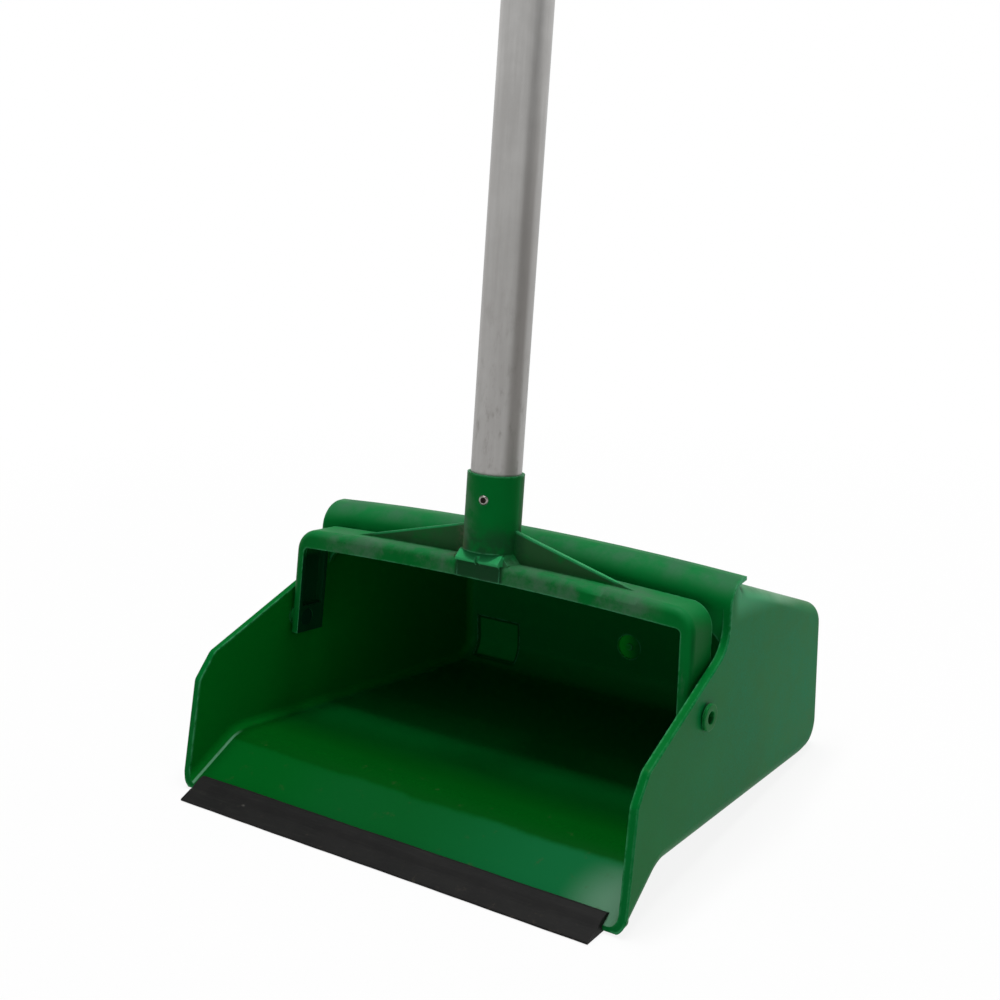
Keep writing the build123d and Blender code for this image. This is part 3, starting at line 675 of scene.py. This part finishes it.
def plain_finish(name, gloss, wear):
    """Green plastic with drift, handling marks, painted shade on inner ends, dirt and painted shade in
    corners, rubbed edges.
    """
    material, tree, shader = finish(name)
    place = put(tree, "TexCoord").outputs["Object"]
    soft, rubbed, corner = edges_and_corners(tree, place, 1.1 * MM)
    handled = product(tree, ramp(tree, noise(tree, place, 65.0, 6.0, 0.65), 0.45, 0.70), 0.35)
    colour = blend(tree, handled, drifting_green(tree, place), GRIME)
    aside = math_node(tree, "ABSOLUTE", put(tree, "SeparateXYZ", {0: place}).outputs["X"], 0.0)
    # near-black painted shade on the studs' inner ends, in the arms' hollow
    hollow = window_mm(tree, aside, 80, 90, 112, 118)
    colour = blend(tree, hollow, colour, HOLLOW_SHADE)
    # dirt and painted shade in inner corners
    colour = blend(tree, product(tree, corner, 0.40), colour, CORNER_DIRT_AND_SHADE)
    colour = blend(tree, product(tree, rubbed, ramp(tree, hollow, 0.5, 0.0), wear), colour, RUBBED)
    plastic_skin(tree, shader, place, colour, handled, soft, gloss, shine=0.08)
    return material


stud_green = plain_finish("stud_green", 0.42, 0.25)
grip_green = plain_finish("grip_green", 0.50, 0.35)
print("small finishes:", stud_green.name, grip_green.name)

# %% [markdown]
# Surfaces from grids
#
# A turned piece is one profile carried round an axis, and a moulded strip is one profile carried along a
# line. Both are a grid of points with two parameters, so one helper joins any grid into quads. A row of
# points that falls together at the axis is merged afterwards, which closes the pole.

# %% Grid to mesh


def skin(name, grid, closed_rows, closed_columns):
    """Joins a grid of points (rows, columns, xyz) into quads, going round where a direction is closed."""
    rows, columns = grid.shape[:2]
    index = np.arange(rows * columns).reshape(rows, columns)
    across = np.roll(index, -1, axis=1)
    corners = np.stack([index, across, np.roll(across, -1, axis=0), np.roll(index, -1, axis=0)], axis=-1)
    corners = corners[:rows if closed_rows else rows - 1, :columns if closed_columns else columns - 1]
    mesh = bpy.data.meshes.new(name)
    mesh.from_pydata(grid.reshape(-1, 3), [], corners.reshape(-1, 4).tolist())
    work = bmesh.new()
    work.from_mesh(mesh)
    bmesh.ops.remove_doubles(work, verts=work.verts, dist=0.001 * MM)
    bmesh.ops.holes_fill(work, edges=[e for e in work.edges if e.is_boundary], sides=0)
    bmesh.ops.recalc_face_normals(work, faces=work.faces)
    work.to_mesh(mesh)
    work.free()
    piece = bpy.data.objects.new(name, mesh)
    bpy.context.scene.collection.objects.link(piece)
    return piece


def shade(piece, sharp_degrees):
    """Smooth shading, broken where faces meet at more than the given angle."""
    piece.data.shade_smooth()
    piece.data.set_sharp_from_angle(angle=math.radians(sharp_degrees))


def dress(piece, material, body, slot, *nodes):
    """Gives a piece its finish and its body, and lets it stand for its CAD nodes."""
    piece.data.materials.clear()
    piece.data.materials.append(material)
    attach(piece, body)
    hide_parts(*nodes)
    spots = np.empty(len(piece.data.vertices) * 3)
    piece.data.vertices.foreach_get("co", spots)
    size = np.ptp(spots.reshape(-1, 3), axis=0) / MM
    print(piece.name, "faces", len(piece.data.polygons), "size in mm", np.round(size, 1))


print("a grid becomes a piece in one call")

# %% Profiles


def rounded(corners, radii, steps=6):
    """Polygon with rounded corners: each is a quadratic curve between two points set back along its edges."""
    corners = np.array(corners, float)
    radii = np.array(radii, float)
    before = np.roll(corners, 1, axis=0) - corners
    after = np.roll(corners, -1, axis=0) - corners
    start = corners + before / np.linalg.norm(before, axis=1, keepdims=True) * radii[:, None]
    end = corners + after / np.linalg.norm(after, axis=1, keepdims=True) * radii[:, None]
    t = np.linspace(0.0, 1.0, steps)[None, :, None]
    bend = (1 - t) ** 2 * start[:, None] + 2 * t * (1 - t) * corners[:, None] + t ** 2 * end[:, None]
    return bend.reshape(-1, 2)


def turned(profile, segments):
    """Carries a profile of (radius, height) round the upright axis: x is r sin a, y is minus r cos a."""
    angle = np.linspace(0.0, 2.0 * math.pi, segments, endpoint=False)
    radius, height = profile[:, 0], profile[:, 1]
    x = np.outer(radius, np.sin(angle))
    y = -np.outer(radius, np.cos(angle))
    z = np.repeat(height[:, None], segments, axis=1)
    return np.stack([x, y, z], axis=-1)


def aimed(grid, origin, out, up):
    """Lays an upright grid along another axis: height runs along out, y along up, x along up cross out."""
    axes = np.stack([np.cross(up, out), up, out])
    return grid @ axes + origin


LEVEL_X = np.array([1.0, 0.0, 0.0])
UPWARD = np.array([0.0, 0.0, 1.0])
sample = rounded([(0, 0), (9, 0), (9, 9)], [1, 1, 1])
print("a rounded corner is drawn with", len(sample) // 3, "points")

# %% [markdown]
# The aluminium tube
#
# The handle is drawn aluminium, dulled by oxide. Drawing leaves hair lines along the tube, so the roughness
# and a faint bump are stretched along its length. Near the socket it is greyer and has been knocked about, a
# dark painted reflection runs down its right side, and the surface is scuffed.

# %% Tube finish
OXIDE_PALE = (0.496, 0.490, 0.480, 1.0)
OXIDE_DULL = (0.444, 0.438, 0.428, 1.0)
RUNS = (0.26, 0.25, 0.24, 1.0)
LOW_GREY = (0.242, 0.232, 0.222, 1.0)
# Painted dark reflection down the tube's right side
DARK_REFLECTION = (0.180, 0.170, 0.160, 1.0)
KNOCKED = (0.19, 0.175, 0.160, 1.0)


def drawn_aluminium(name):
    """Dull drawn aluminium: hair lines along it, cloudy oxide, greyer and scuffed towards the socket."""
    material, tree, shader = finish(name)
    stood = upright(tree, put(tree, "TexCoord").outputs["Object"])
    x, y, height = put(tree, "SeparateXYZ", {0: stood}).outputs[:3]
    lines = noise(tree, stretched(tree, stood, (1.0, 1.0, 0.012)), 2600.0, 3.0, 0.6)
    runs = ramp(tree, noise(tree, stretched(tree, stood, (1.0, 1.0, 0.06)), 260.0, 4.0, 0.6), 0.35, 0.70)
    cloud = ramp(tree, noise(tree, stood, 60.0, 5.0, 0.6), 0.3, 0.7)
    colour = blend(tree, cloud, OXIDE_PALE, OXIDE_DULL)
    colour = blend(tree, product(tree, runs, 0.25), colour, RUNS)
    low = ramp_mm(tree, height, 340, 160)
    colour = blend(tree, product(tree, low, 0.50), colour, LOW_GREY)
    # painted dark reflection down the right side
    painted_reflection = product(tree, ramp_mm(tree, x, 8.0, 11.2), window_mm(tree, y, -7.6, -3.6, 0.0, 3.6), low, 0.80)
    colour = blend(tree, painted_reflection, colour, DARK_REFLECTION)
    scuff = ramp(tree, noise(tree, stretched(tree, stood, (1.0, 1.0, 0.35)), 260.0, 6.0, 0.7), 0.50, 0.72)
    scuff = product(tree, scuff, ramp_mm(tree, height, 220, 100))
    colour = blend(tree, product(tree, scuff, 0.40), colour, KNOCKED)
    rough = math_node(tree, "ADD", between(tree, lines, 0.34, 0.46), product(tree, scuff, 0.15))
    relief = put(tree, "Bump", {"Strength": 0.10, "Distance": 0.03 * MM, "Height": lines})
    wire(tree, shader, {"Base Color": colour, "Metallic": 1.0, "Roughness": rough,
                        "Normal": relief.outputs["Normal"]})
    return material


print("aluminium from", OXIDE_PALE[:3], "to", OXIDE_DULL[:3])

# %% [markdown]
# The tube's form
#
# A tube could be a cylinder with a thickness added to it. Turning the wall's own section, a thin rectangle
# with slightly rounded corners, gives both faces, both ends and their edges at once.

# %% Tube
TUBE_FOOT = 56.915 * MM
TUBE_LENGTH = 709.2 * MM
TUBE_RADIUS = 12.5 * MM
TUBE_WALL = 1.2 * MM
bore = TUBE_RADIUS - TUBE_WALL
wall = [(bore, 0.0), (TUBE_RADIUS, 0.0), (TUBE_RADIUS, TUBE_LENGTH), (bore, TUBE_LENGTH)]
tube_grid = turned(rounded(wall, [0.3 * MM] * 4, 4), 96)
tube_grid += np.array([0.0, TUBE_AXIS, TUBE_FOOT])
tube = skin("handle_tube_drawn", leaned(tube_grid), True, True)
shade(tube, 30)
dress(tube, drawn_aluminium("drawn_aluminium"), "handle", "tube_aluminium", "handle_tube")

# %% [markdown]
# The blind rivet
#
# A blind rivet is a soft aluminium sleeve with a flat dome for a head and a steel stem through it. Setting
# it pulls the stem's ball into the far end of the sleeve, which swells, and the stem snaps off and leaves a
# dark mouth. It is turned from one closed profile: head, shank, bulb and the bore with its wider mouth.

# %% Rivet
RIVET_HEIGHT = 81.4
RIVET_TURN = math.radians(11.5)
RIVET_SEAT = 13.7
RIVET_HEAD = 0.8
RIVET_HEAD_RADIUS = 2.40
RIVET_SHANK = 1.20
RIVET_BORE = 0.75
BULB = (11.16, 8.56)
BULB_RADIUS = 1.75


def rivet_profile(seat, bulb):
    """Closed (radius, distance from the tube's axis) outline in mm: bore, mouth, dome, shank and bulb."""
    top = seat + RIVET_HEAD
    corners = [(RIVET_BORE, bulb[1]), (RIVET_BORE, top - 0.62), (1.32, top - 0.58), (1.45, top - 0.03),
               (1.80, top), (RIVET_HEAD_RADIUS, seat + 0.25), (RIVET_HEAD_RADIUS, seat), (RIVET_SHANK, seat),
               (RIVET_SHANK, bulb[0]), (BULB_RADIUS, bulb[0] - 0.3), (BULB_RADIUS, bulb[1])]
    return rounded(corners, [0.05, 0.03, 0.08, 0.10, 0.12, 0.10, 0.02, 0.02, 0.10, 0.15, 0.2], 5) * MM


rivet_out = np.array([math.sin(RIVET_TURN), -math.cos(RIVET_TURN), 0.0])
rivet_from = np.array([0.0, TUBE_AXIS, RIVET_HEIGHT * MM])
rivet_grid = aimed(turned(rivet_profile(RIVET_SEAT, BULB), 48), rivet_from, rivet_out, UPWARD)
rivet = skin("socket_rivet_set", leaned(rivet_grid), True, True)
shade(rivet, 35)
print("rivet points out by", round(RIVET_SEAT + RIVET_HEAD, 2), "mm from the tube's axis")

# %% [markdown]
# The rivet's metal
#
# A set rivet is marked by the tool and stained, and its mouth gets painted shade. The stain is a fine noise
# between two greys. The mouth is all that lies close to one point, so the same shade darkens the stem too.

# %% Rivet finish
RIVET_BRIGHT = (0.40, 0.39, 0.36, 1.0)
RIVET_STAINED = (0.16, 0.15, 0.13, 1.0)
# Painted shade in the rivet's mouth
MOUTH_SHADE = (0.022, 0.017, 0.014, 1.0)
rivet_mouth = leaned(rivet_from + rivet_out * (RIVET_SEAT + 0.2) * MM)


def worn_metal(name, bright, dark, rough, mouth):
    """Metal stained by a fine noise, with tooling in the relief, and painted shade within 1.4 mm of the
    mouth.
    """
    material, tree, shader = finish(name)
    place = put(tree, "TexCoord").outputs["Object"]
    stain = ramp(tree, noise(tree, place, 900.0, 5.0, 0.65), 0.38, 0.66)
    tooling = noise(tree, place, 4200.0, 2.0, 0.5)
    relief = put(tree, "Bump", {"Strength": 0.2, "Distance": 0.04 * MM, "Height": tooling})
    # painted shade in the mouth, also on the stem
    mouth_shade = ramp_mm(tree, distance_to(tree, place, mouth), 1.52, 1.36)
    colour = blend(tree, mouth_shade, blend(tree, stain, bright, dark), MOUTH_SHADE)
    wire(tree, shader, {"Base Color": colour, "Metallic": 1.0, "Normal": relief.outputs["Normal"],
                        "Roughness": between(tree, tooling, rough - 0.06, rough + 0.12)})
    return material


rivet_metal = worn_metal("rivet_aluminium", RIVET_BRIGHT, RIVET_STAINED, 0.36, rivet_mouth)
dress(rivet, rivet_metal, "handle", "rivet_aluminium", "socket_rivet")

# %% [markdown]
# The hinge studs
#
# Each arm turns on a hollow green stud that goes through the pan's side wall from outside. The hollow keeps
# the moulding's wall even, so the head does not sink as it cools. A stud is turned about the hinge line,
# and its place and length come from the CAD piece that it stands for.

# %% Studs
STUD_SHANK = 4.5 * MM
STUD_HEAD = 6.4 * MM
STUD_HEAD_DEPTH = 1.8 * MM
STUD_HOLLOW = 3.0 * MM
STUD_END = 1.6 * MM


def stud_profile(inner, outer):
    """Open (radius, distance along the hinge) outline from axis to axis: closed end, shank, head, hollow."""
    head = outer - STUD_HEAD_DEPTH
    corners = [(0.0, inner), (STUD_SHANK, inner), (STUD_SHANK, head), (STUD_HEAD, head), (STUD_HEAD, outer),
               (STUD_HOLLOW, outer), (STUD_HOLLOW, inner + STUD_END), (0.0, inner + STUD_END)]
    radii = np.array([0.0, 0.3, 0.02, 0.25, 0.7, 0.45, 0.4, 0.0]) * MM
    return rounded(corners, radii, 6)[5:-5]


def stud(name, node, side):
    """Turned stud: out along plus or minus X from the middle of the pan, on the CAD piece's own axis."""
    low, high = np.array(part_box(node))
    reach = np.sort(np.abs([low[0], high[0]]))
    origin = np.array([0.0, (low[1] + high[1]) / 2, (low[2] + high[2]) / 2])
    grid = turned(stud_profile(reach[0], reach[1]), 64)
    piece = skin(name, aimed(grid, origin, side * LEVEL_X, UPWARD), False, True)
    shade(piece, 35)
    dress(piece, stud_green, "handle", "pin_green", node)


stud("hinge_stud_left", "pivot_pin_left", -1.0)
stud("hinge_stud_right", "pivot_pin_right", 1.0)

# %% [markdown]
# The hand grip
#
# The grip is a green sleeve pushed over the tube's end, with a collar that stops the hand, shallow rings to
# hold on to and a solid end with a hole to hang the pan up by. It is turned like the others. A hole across
# a turned piece is not part of its profile, so it is cut afterwards with a round bar.

# %% Grip
GRIP_FOOT = 672.115
GRIP_LENGTH = 118.0
GRIP_RADIUS = 14.8
GRIP_ROUND = 6.0
GRIP_BORE = 12.6
BORE_DEPTH = 94.0
RING_DEPTH = 0.7
RING_PITCH = 7.0
RING_FADE = 3.0
RINGS_FROM = 16.0
RINGS_TO = 86.0


def grip_profile():
    """Open (radius, height) outline in mm, from the end's top on the axis, down outside and up the bore.

    The rings are squared half waves, 0.7 mm deep and 7 mm apart, between 16 and 86 mm above the foot,
    and they fade in over 3 mm at both ends.
    """
    angle = np.linspace(0.0, math.pi / 2, 12)
    dome = np.stack([GRIP_RADIUS - GRIP_ROUND * (1.0 - np.sin(angle)),
                     GRIP_LENGTH - GRIP_ROUND * (1.0 - np.cos(angle))], axis=1)
    along = np.linspace(92.0, 10.0, 420)
    inside = np.clip((along - RINGS_FROM) / RING_FADE, 0.0, 1.0)
    inside = inside * np.clip((RINGS_TO - along) / RING_FADE, 0.0, 1.0)
    wave = (0.5 - 0.5 * np.cos(2 * math.pi * along / RING_PITCH)) ** 2
    sides = np.stack([GRIP_RADIUS - RING_DEPTH * inside * wave, along], axis=1)
    collar = np.array([(14.8, 8.4), (15.0, 7.6), (15.5, 7.1), (15.9, 6.6), (16.0, 6.0), (16.0, 1.0),
                       (15.8, 0.4), (15.4, 0.1), (15.0, 0.0)])
    bore = np.array([(GRIP_BORE + 0.3, 0.0), (GRIP_BORE, 0.3), (GRIP_BORE, BORE_DEPTH), (0.0, BORE_DEPTH)])
    return np.concatenate([[(0.0, GRIP_LENGTH)], dome, sides, collar, bore]) * MM


grip_grid = turned(grip_profile(), 96) + np.array([0.0, TUBE_AXIS, GRIP_FOOT * MM])
grip = skin("hand_grip_ringed", leaned(grip_grid), False, True)
print("grip is", GRIP_LENGTH, "mm long, rings every", RING_PITCH, "mm")

# %% Hang hole
HOLE_RADIUS = 4.5 * MM
HOLE_BELOW_END = 13.0
steps = np.array([-20.0, -12.0, 12.0, 20.0]) * MM
hole = np.stack([np.full(4, HOLE_RADIUS), steps], axis=1)
hole_line = np.array([0.0, TUBE_AXIS, (GRIP_FOOT + GRIP_LENGTH - HOLE_BELOW_END) * MM])
bar = skin("hole_bar", leaned(aimed(turned(hole, 48), hole_line, LEVEL_X, UPWARD)), False, True)
cut = grip.modifiers.new("hang_hole", "BOOLEAN")
cut.operation = "DIFFERENCE"
cut.solver = "EXACT"
cut.object = bar
cut_mesh = bpy.data.meshes.new_from_object(grip.evaluated_get(bpy.context.evaluated_depsgraph_get()))
grip.modifiers.remove(cut)
grip.data = cut_mesh
bpy.data.objects.remove(bar)
shade(grip, 35)
dress(grip, grip_green, "handle", "grip_green", "hand_grip")

# %% [markdown]
# The rubber lip
#
# A strip of black rubber rides on the pan's front edge and closes the gap to the ground. In section it is a
# thin blade in front, a groove where the blade bends, a round back over the ramp and a short hook under the
# toe. Extruded rubber is never quite straight, so the strip swells and sinks by a fraction of a millimetre
# along its length, and the blade's worn edge wanders a little. It still lies on the ground.

# %% Lip section
RAMP_RISE = 14.5 / 27.0
RAMP_AT = (18.0, 6.0)
FRONT_EDGE = 12.2
LIP_DEPTH = 18.4
LIP_LEAF = 2.1
LIP_HOOK = 3.2


def on_ramp(from_lip):
    """Height of the pan's ramp, in mm, at a distance behind the lip's tip: a line through one known point."""
    return RAMP_AT[1] + RAMP_RISE * (from_lip - RAMP_AT[0])


back = LIP_DEPTH - LIP_LEAF
crown = (back, on_ramp(back) + LIP_LEAF * math.hypot(1.0, RAMP_RISE))
lip_corners = [(0.0, 0.0), (0.0, 0.9), (7.2, 3.70), (8.3, 3.85), (9.6, 4.65), (12.0, 6.1), crown,
               (LIP_DEPTH, on_ramp(LIP_DEPTH)), (FRONT_EDGE, on_ramp(FRONT_EDGE)), (FRONT_EDGE, 1.0),
               (FRONT_EDGE + LIP_HOOK, 1.0), (FRONT_EDGE + LIP_HOOK, 0.0)]
lip_radii = [0.2, 0.4, 0.5, 0.5, 0.6, 1.2, 1.0, 0.2, 0.2, 0.3, 0.3, 0.3]
lip_section = rounded(lip_corners, lip_radii) * MM
print("lip section points", len(lip_section), "height in mm", round(crown[1], 2))

# %% Lip
LIP_HALF = 118.0 * MM
LIP_STATIONS = 241
LIP_TIP = -122.5 * MM


def carried_along(section, half, stations):
    """Carries a (y, z) section along X.

    Its top rises and falls in slow waves, most where it is thick, and the front edge goes back by up to
    0.3 mm where it is worn, which fades out 4 mm behind the edge.
    """
    x = np.linspace(-half, half, stations)[:, None]
    y = np.repeat(section[None, :, 0], stations, axis=0)
    z = np.repeat(section[None, :, 1], stations, axis=0)
    wave = 0.05 * np.sin(x / (17 * MM)) + 0.04 * np.sin(x / (7.3 * MM) + 1.0)
    z = z * (1.0 + 0.25 * wave)
    worn = 0.5 + 0.3 * np.sin(x / (23 * MM) + 0.6) + 0.2 * np.sin(x / (4.1 * MM))
    y = y + 0.3 * MM * worn * np.clip(1.0 - y / (4 * MM), 0.0, 1.0)
    return np.stack([np.broadcast_to(x, y.shape), y, z], axis=-1)


lip_grid = carried_along(lip_section, LIP_HALF, LIP_STATIONS)
lip_grid[..., 1] += LIP_TIP
lip = skin("rubber_lip_strip", lip_grid, False, True)
shade(lip, 40)
print("lip carried over", LIP_STATIONS, "stations")

# %% [markdown]
# Black rubber
#
# Rubber that sweeps the ground is not evenly black. It blooms in grey clouds, extrusion leaves hair lines
# along it, brown dust clings to the blade, and now and then something has scuffed it. It mirrors very
# little, so nearly all of its look is in the colour and the relief of the lines.

# %% Rubber finish
RUBBER = (0.0062, 0.0063, 0.0062, 1.0)
BLOOM = (0.0105, 0.0103, 0.0098, 1.0)
HAIR_LINE = (0.0160, 0.0160, 0.0150, 1.0)
BROWN_DUST = (0.050, 0.040, 0.030, 1.0)
RUBBER_SCUFF = (0.105, 0.100, 0.092, 1.0)


def black_rubber(name):
    """Matte black rubber: cloudy bloom, hair lines along the strip, brown dust on the blade, grey scuffs."""
    material, tree, shader = finish(name)
    place = put(tree, "TexCoord").outputs["Object"]
    y = put(tree, "SeparateXYZ", {0: place}).outputs["Y"]
    lines = noise(tree, stretched(tree, place, (0.05, 1.0, 1.0)), 1300.0, 4.0, 0.6)
    bloom = ramp(tree, noise(tree, place, 45.0, 6.0, 0.65), 0.35, 0.75)
    colour = blend(tree, bloom, RUBBER, BLOOM)
    colour = blend(tree, product(tree, ramp(tree, lines, 0.52, 0.68), 0.5), colour, HAIR_LINE)
    dust = ramp(tree, noise(tree, place, 240.0, 5.0, 0.7), 0.58, 0.72)
    colour = blend(tree, product(tree, dust, ramp_mm(tree, y, -110, -121), 0.5), colour, BROWN_DUST)
    scuff = ramp(tree, noise(tree, stretched(tree, place, (0.5, 1.0, 1.0)), 130.0, 2.0, 0.5), 0.74, 0.79)
    colour = blend(tree, product(tree, scuff, 0.6), colour, RUBBER_SCUFF)
    relief = put(tree, "Bump", {"Strength": 0.25, "Distance": 0.08 * MM, "Height": lines})
    wire(tree, shader, {"Base Color": colour, "Roughness": between(tree, lines, 0.52, 0.70),
                        "Specular IOR Level": 0.14, "Normal": relief.outputs["Normal"]})
    return material


dress(lip, black_rubber("black_rubber"), "pan", "lip_rubber", "rubber_lip")

# %% [markdown]
# The mouldings and the broken stem
#
# Pan and yoke already have their right form in the CAD model, down to the rounded edges, so drawing them
# again would only add faces. They keep it and take the finishes made above. The stem inside the rivet is
# only a dark dot, and gets blackened steel.

# %% Finishes of the CAD pieces
STEEL = (0.055, 0.048, 0.042, 1.0)
STEEL_DARK = (0.016, 0.013, 0.011, 1.0)


def refinish(node, material):
    """Gives a CAD piece, which keeps its form, a better finish."""
    piece = frame["nodes"][node]
    piece.data.materials.clear()
    piece.data.materials.append(material)
    print(node, "keeps its CAD form in", material.name)


refinish("pan_body", pan_green)
refinish("yoke", yoke_green)
refinish("rivet_mandrel", worn_metal("mandrel_steel", STEEL, STEEL_DARK, 0.55, rivet_mouth))

# %% [markdown]
# The floor
#
# The photo's ground is white, yet the pan needs a shadow to stand on. A floor that is only bright needs
# more light on everything. So the floor is plain pale paint to the light that falls on the object, and
# mostly a white glow to the camera and to reflections, less so near the pan, where the paint shows through
# with the shadow on it.

# %% Floor
FLOOR_HALF = 6.0
GLOW_NEAR = 0.88
corners = np.array([(-1, -1, 0), (1, -1, 0), (1, 1, 0), (-1, 1, 0)]) * FLOOR_HALF
floor_mesh = bpy.data.meshes.new("floor")
floor_mesh.from_pydata(corners.tolist(), [], [(0, 1, 2, 3)])
floor = bpy.data.objects.new("floor", floor_mesh)
floor.location.z = -0.3 * MM
bpy.context.scene.collection.objects.link(floor)
floor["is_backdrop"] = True
print("floor is", tuple(round(v, 1) for v in floor.dimensions), "m")

# %% Floor finish


def seen_directly(tree):
    """1 for what the camera, a reflection or a clear piece sees, 0 for light that is gathered."""
    rays = put(tree, "LightPath").outputs
    seen = math_node(tree, "MAXIMUM", rays["Is Camera Ray"], rays["Is Glossy Ray"])
    return math_node(tree, "MAXIMUM", seen, rays["Is Transmission Ray"])


pale, tree, shader = finish("pale_floor")
place = put(tree, "TexCoord").outputs["Object"]
spread = put(tree, "VectorMath", {0: place}, operation="LENGTH").outputs["Value"]
glowing = math_node(tree, "ADD", GLOW_NEAR, product(tree, ramp(tree, spread, 0.25, 0.9), 1.0 - GLOW_NEAR))
glow = put(tree, "Emission", {"Color": (1.0, 1.0, 1.0, 1.0), "Strength": 1.0})
wire(tree, shader, {"Base Color": (0.9, 0.9, 0.9, 1.0), "Roughness": 0.9, "Specular IOR Level": 0.0})
share = product(tree, seen_directly(tree), glowing)
mixed = put(tree, "MixShader", {0: share, 1: shader.outputs[0], 2: glow.outputs[0]})
wire(tree, tree.nodes["Material Output"], {"Surface": mixed.outputs[0]})
floor_mesh.materials.append(pale)
print("floor glows by", GLOW_NEAR, "near the pan and by 1 far off")

# %% [markdown]
# The room
#
# A pan on a white table sees a white room. The light that the room itself gives is weak, so that the lamps
# can model the form. What shows in reflections is white all round, dim overhead and darker far to the
# right, which keeps the upper faces rich in colour and gives the tube a grey band. The background that the
# camera sees stays white.

# %% World
GATHERED = 0.18
world = bpy.data.worlds.new("studio")
bpy.context.scene.world = world
world.use_nodes = True
tree = world.node_tree
rays = put(tree, "LightPath").outputs
towards = put(tree, "SeparateXYZ", {0: put(tree, "TexCoord").outputs["Generated"]}).outputs
ceiling = between(tree, ramp(tree, towards["Z"], 0.15, 0.75), 1.0, 0.20)
side = between(tree, ramp(tree, towards["X"], 0.84, 0.99), 1.0, 0.35)
mirrored = product(tree, ceiling, side)
level = put(tree, "Mix", {0: rays["Is Glossy Ray"], 2: GATHERED, 3: mirrored}, data_type="FLOAT").outputs[0]
clear = math_node(tree, "MAXIMUM", rays["Is Camera Ray"], rays["Is Transmission Ray"])
level = put(tree, "Mix", {0: clear, 2: level, 3: 1.0}, data_type="FLOAT").outputs[0]
wire(tree, tree.nodes["Background"], {"Color": (1.0, 1.0, 1.0, 1.0), "Strength": level})
print("room gives light at", GATHERED, "of white")

# %% [markdown]
# Studio light
#
# Nearly all the light falls from above, as in a room with a large ceiling lamp: one softbox overhead and a
# little behind, and a narrow one further forward and to the left, which lights the ramp and the left side
# of the mouth. Two weak ones at the right and in front only keep the upright faces from going dark. They
# are left out of reflections, so that the plastic stays free of their glare.

# %% Lamps


def softbox(name, at, aim, size, power, mirrored):
    """A rectangular lamp at one point that faces another; mirrored says whether reflections show it."""
    lamp = bpy.data.objects.new(name, bpy.data.lights.new(name, "AREA"))
    lamp.data.shape = "RECTANGLE"
    lamp.data.size, lamp.data.size_y = size
    lamp.data.energy = power
    lamp.location = at
    lamp.rotation_euler = (Vector(aim) - Vector(at)).to_track_quat("-Z", "Y").to_euler()
    lamp.visible_glossy = mirrored
    bpy.context.scene.collection.objects.link(lamp)
    print(name, "at", at, "with", power, "W")


softbox("softbox_overhead", (0.02, 0.28, 1.85), (0.0, 0.0, 0.05), (0.8, 0.5), 24.0, True)
softbox("softbox_strip", (-0.28, -0.14, 1.85), (0.0, -0.05, 0.05), (0.8, 0.22), 8.0, True)
softbox("softbox_right", (1.60, -0.60, 0.90), (0.1, 0.0, 0.05), (1.2, 1.0), 2.6, False)
softbox("softbox_front", (0.35, -2.00, 0.45), (0.0, 0.0, 0.06), (0.9, 0.5), 2.4, False)

# %% [markdown]
# A dressed model must not outgrow its CAD model, because collisions are worked out on that.
#
# The dressed model's box is compared with the CAD model's box, and how far it reaches past it is printed.

# %% Sizes
seen_low, seen_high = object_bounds()
grown = np.maximum(np.array(cad_low) - seen_low, np.array(seen_high) - cad_high) / MM
print("visual outside the CAD box by at most", np.round(grown, 2), "mm")
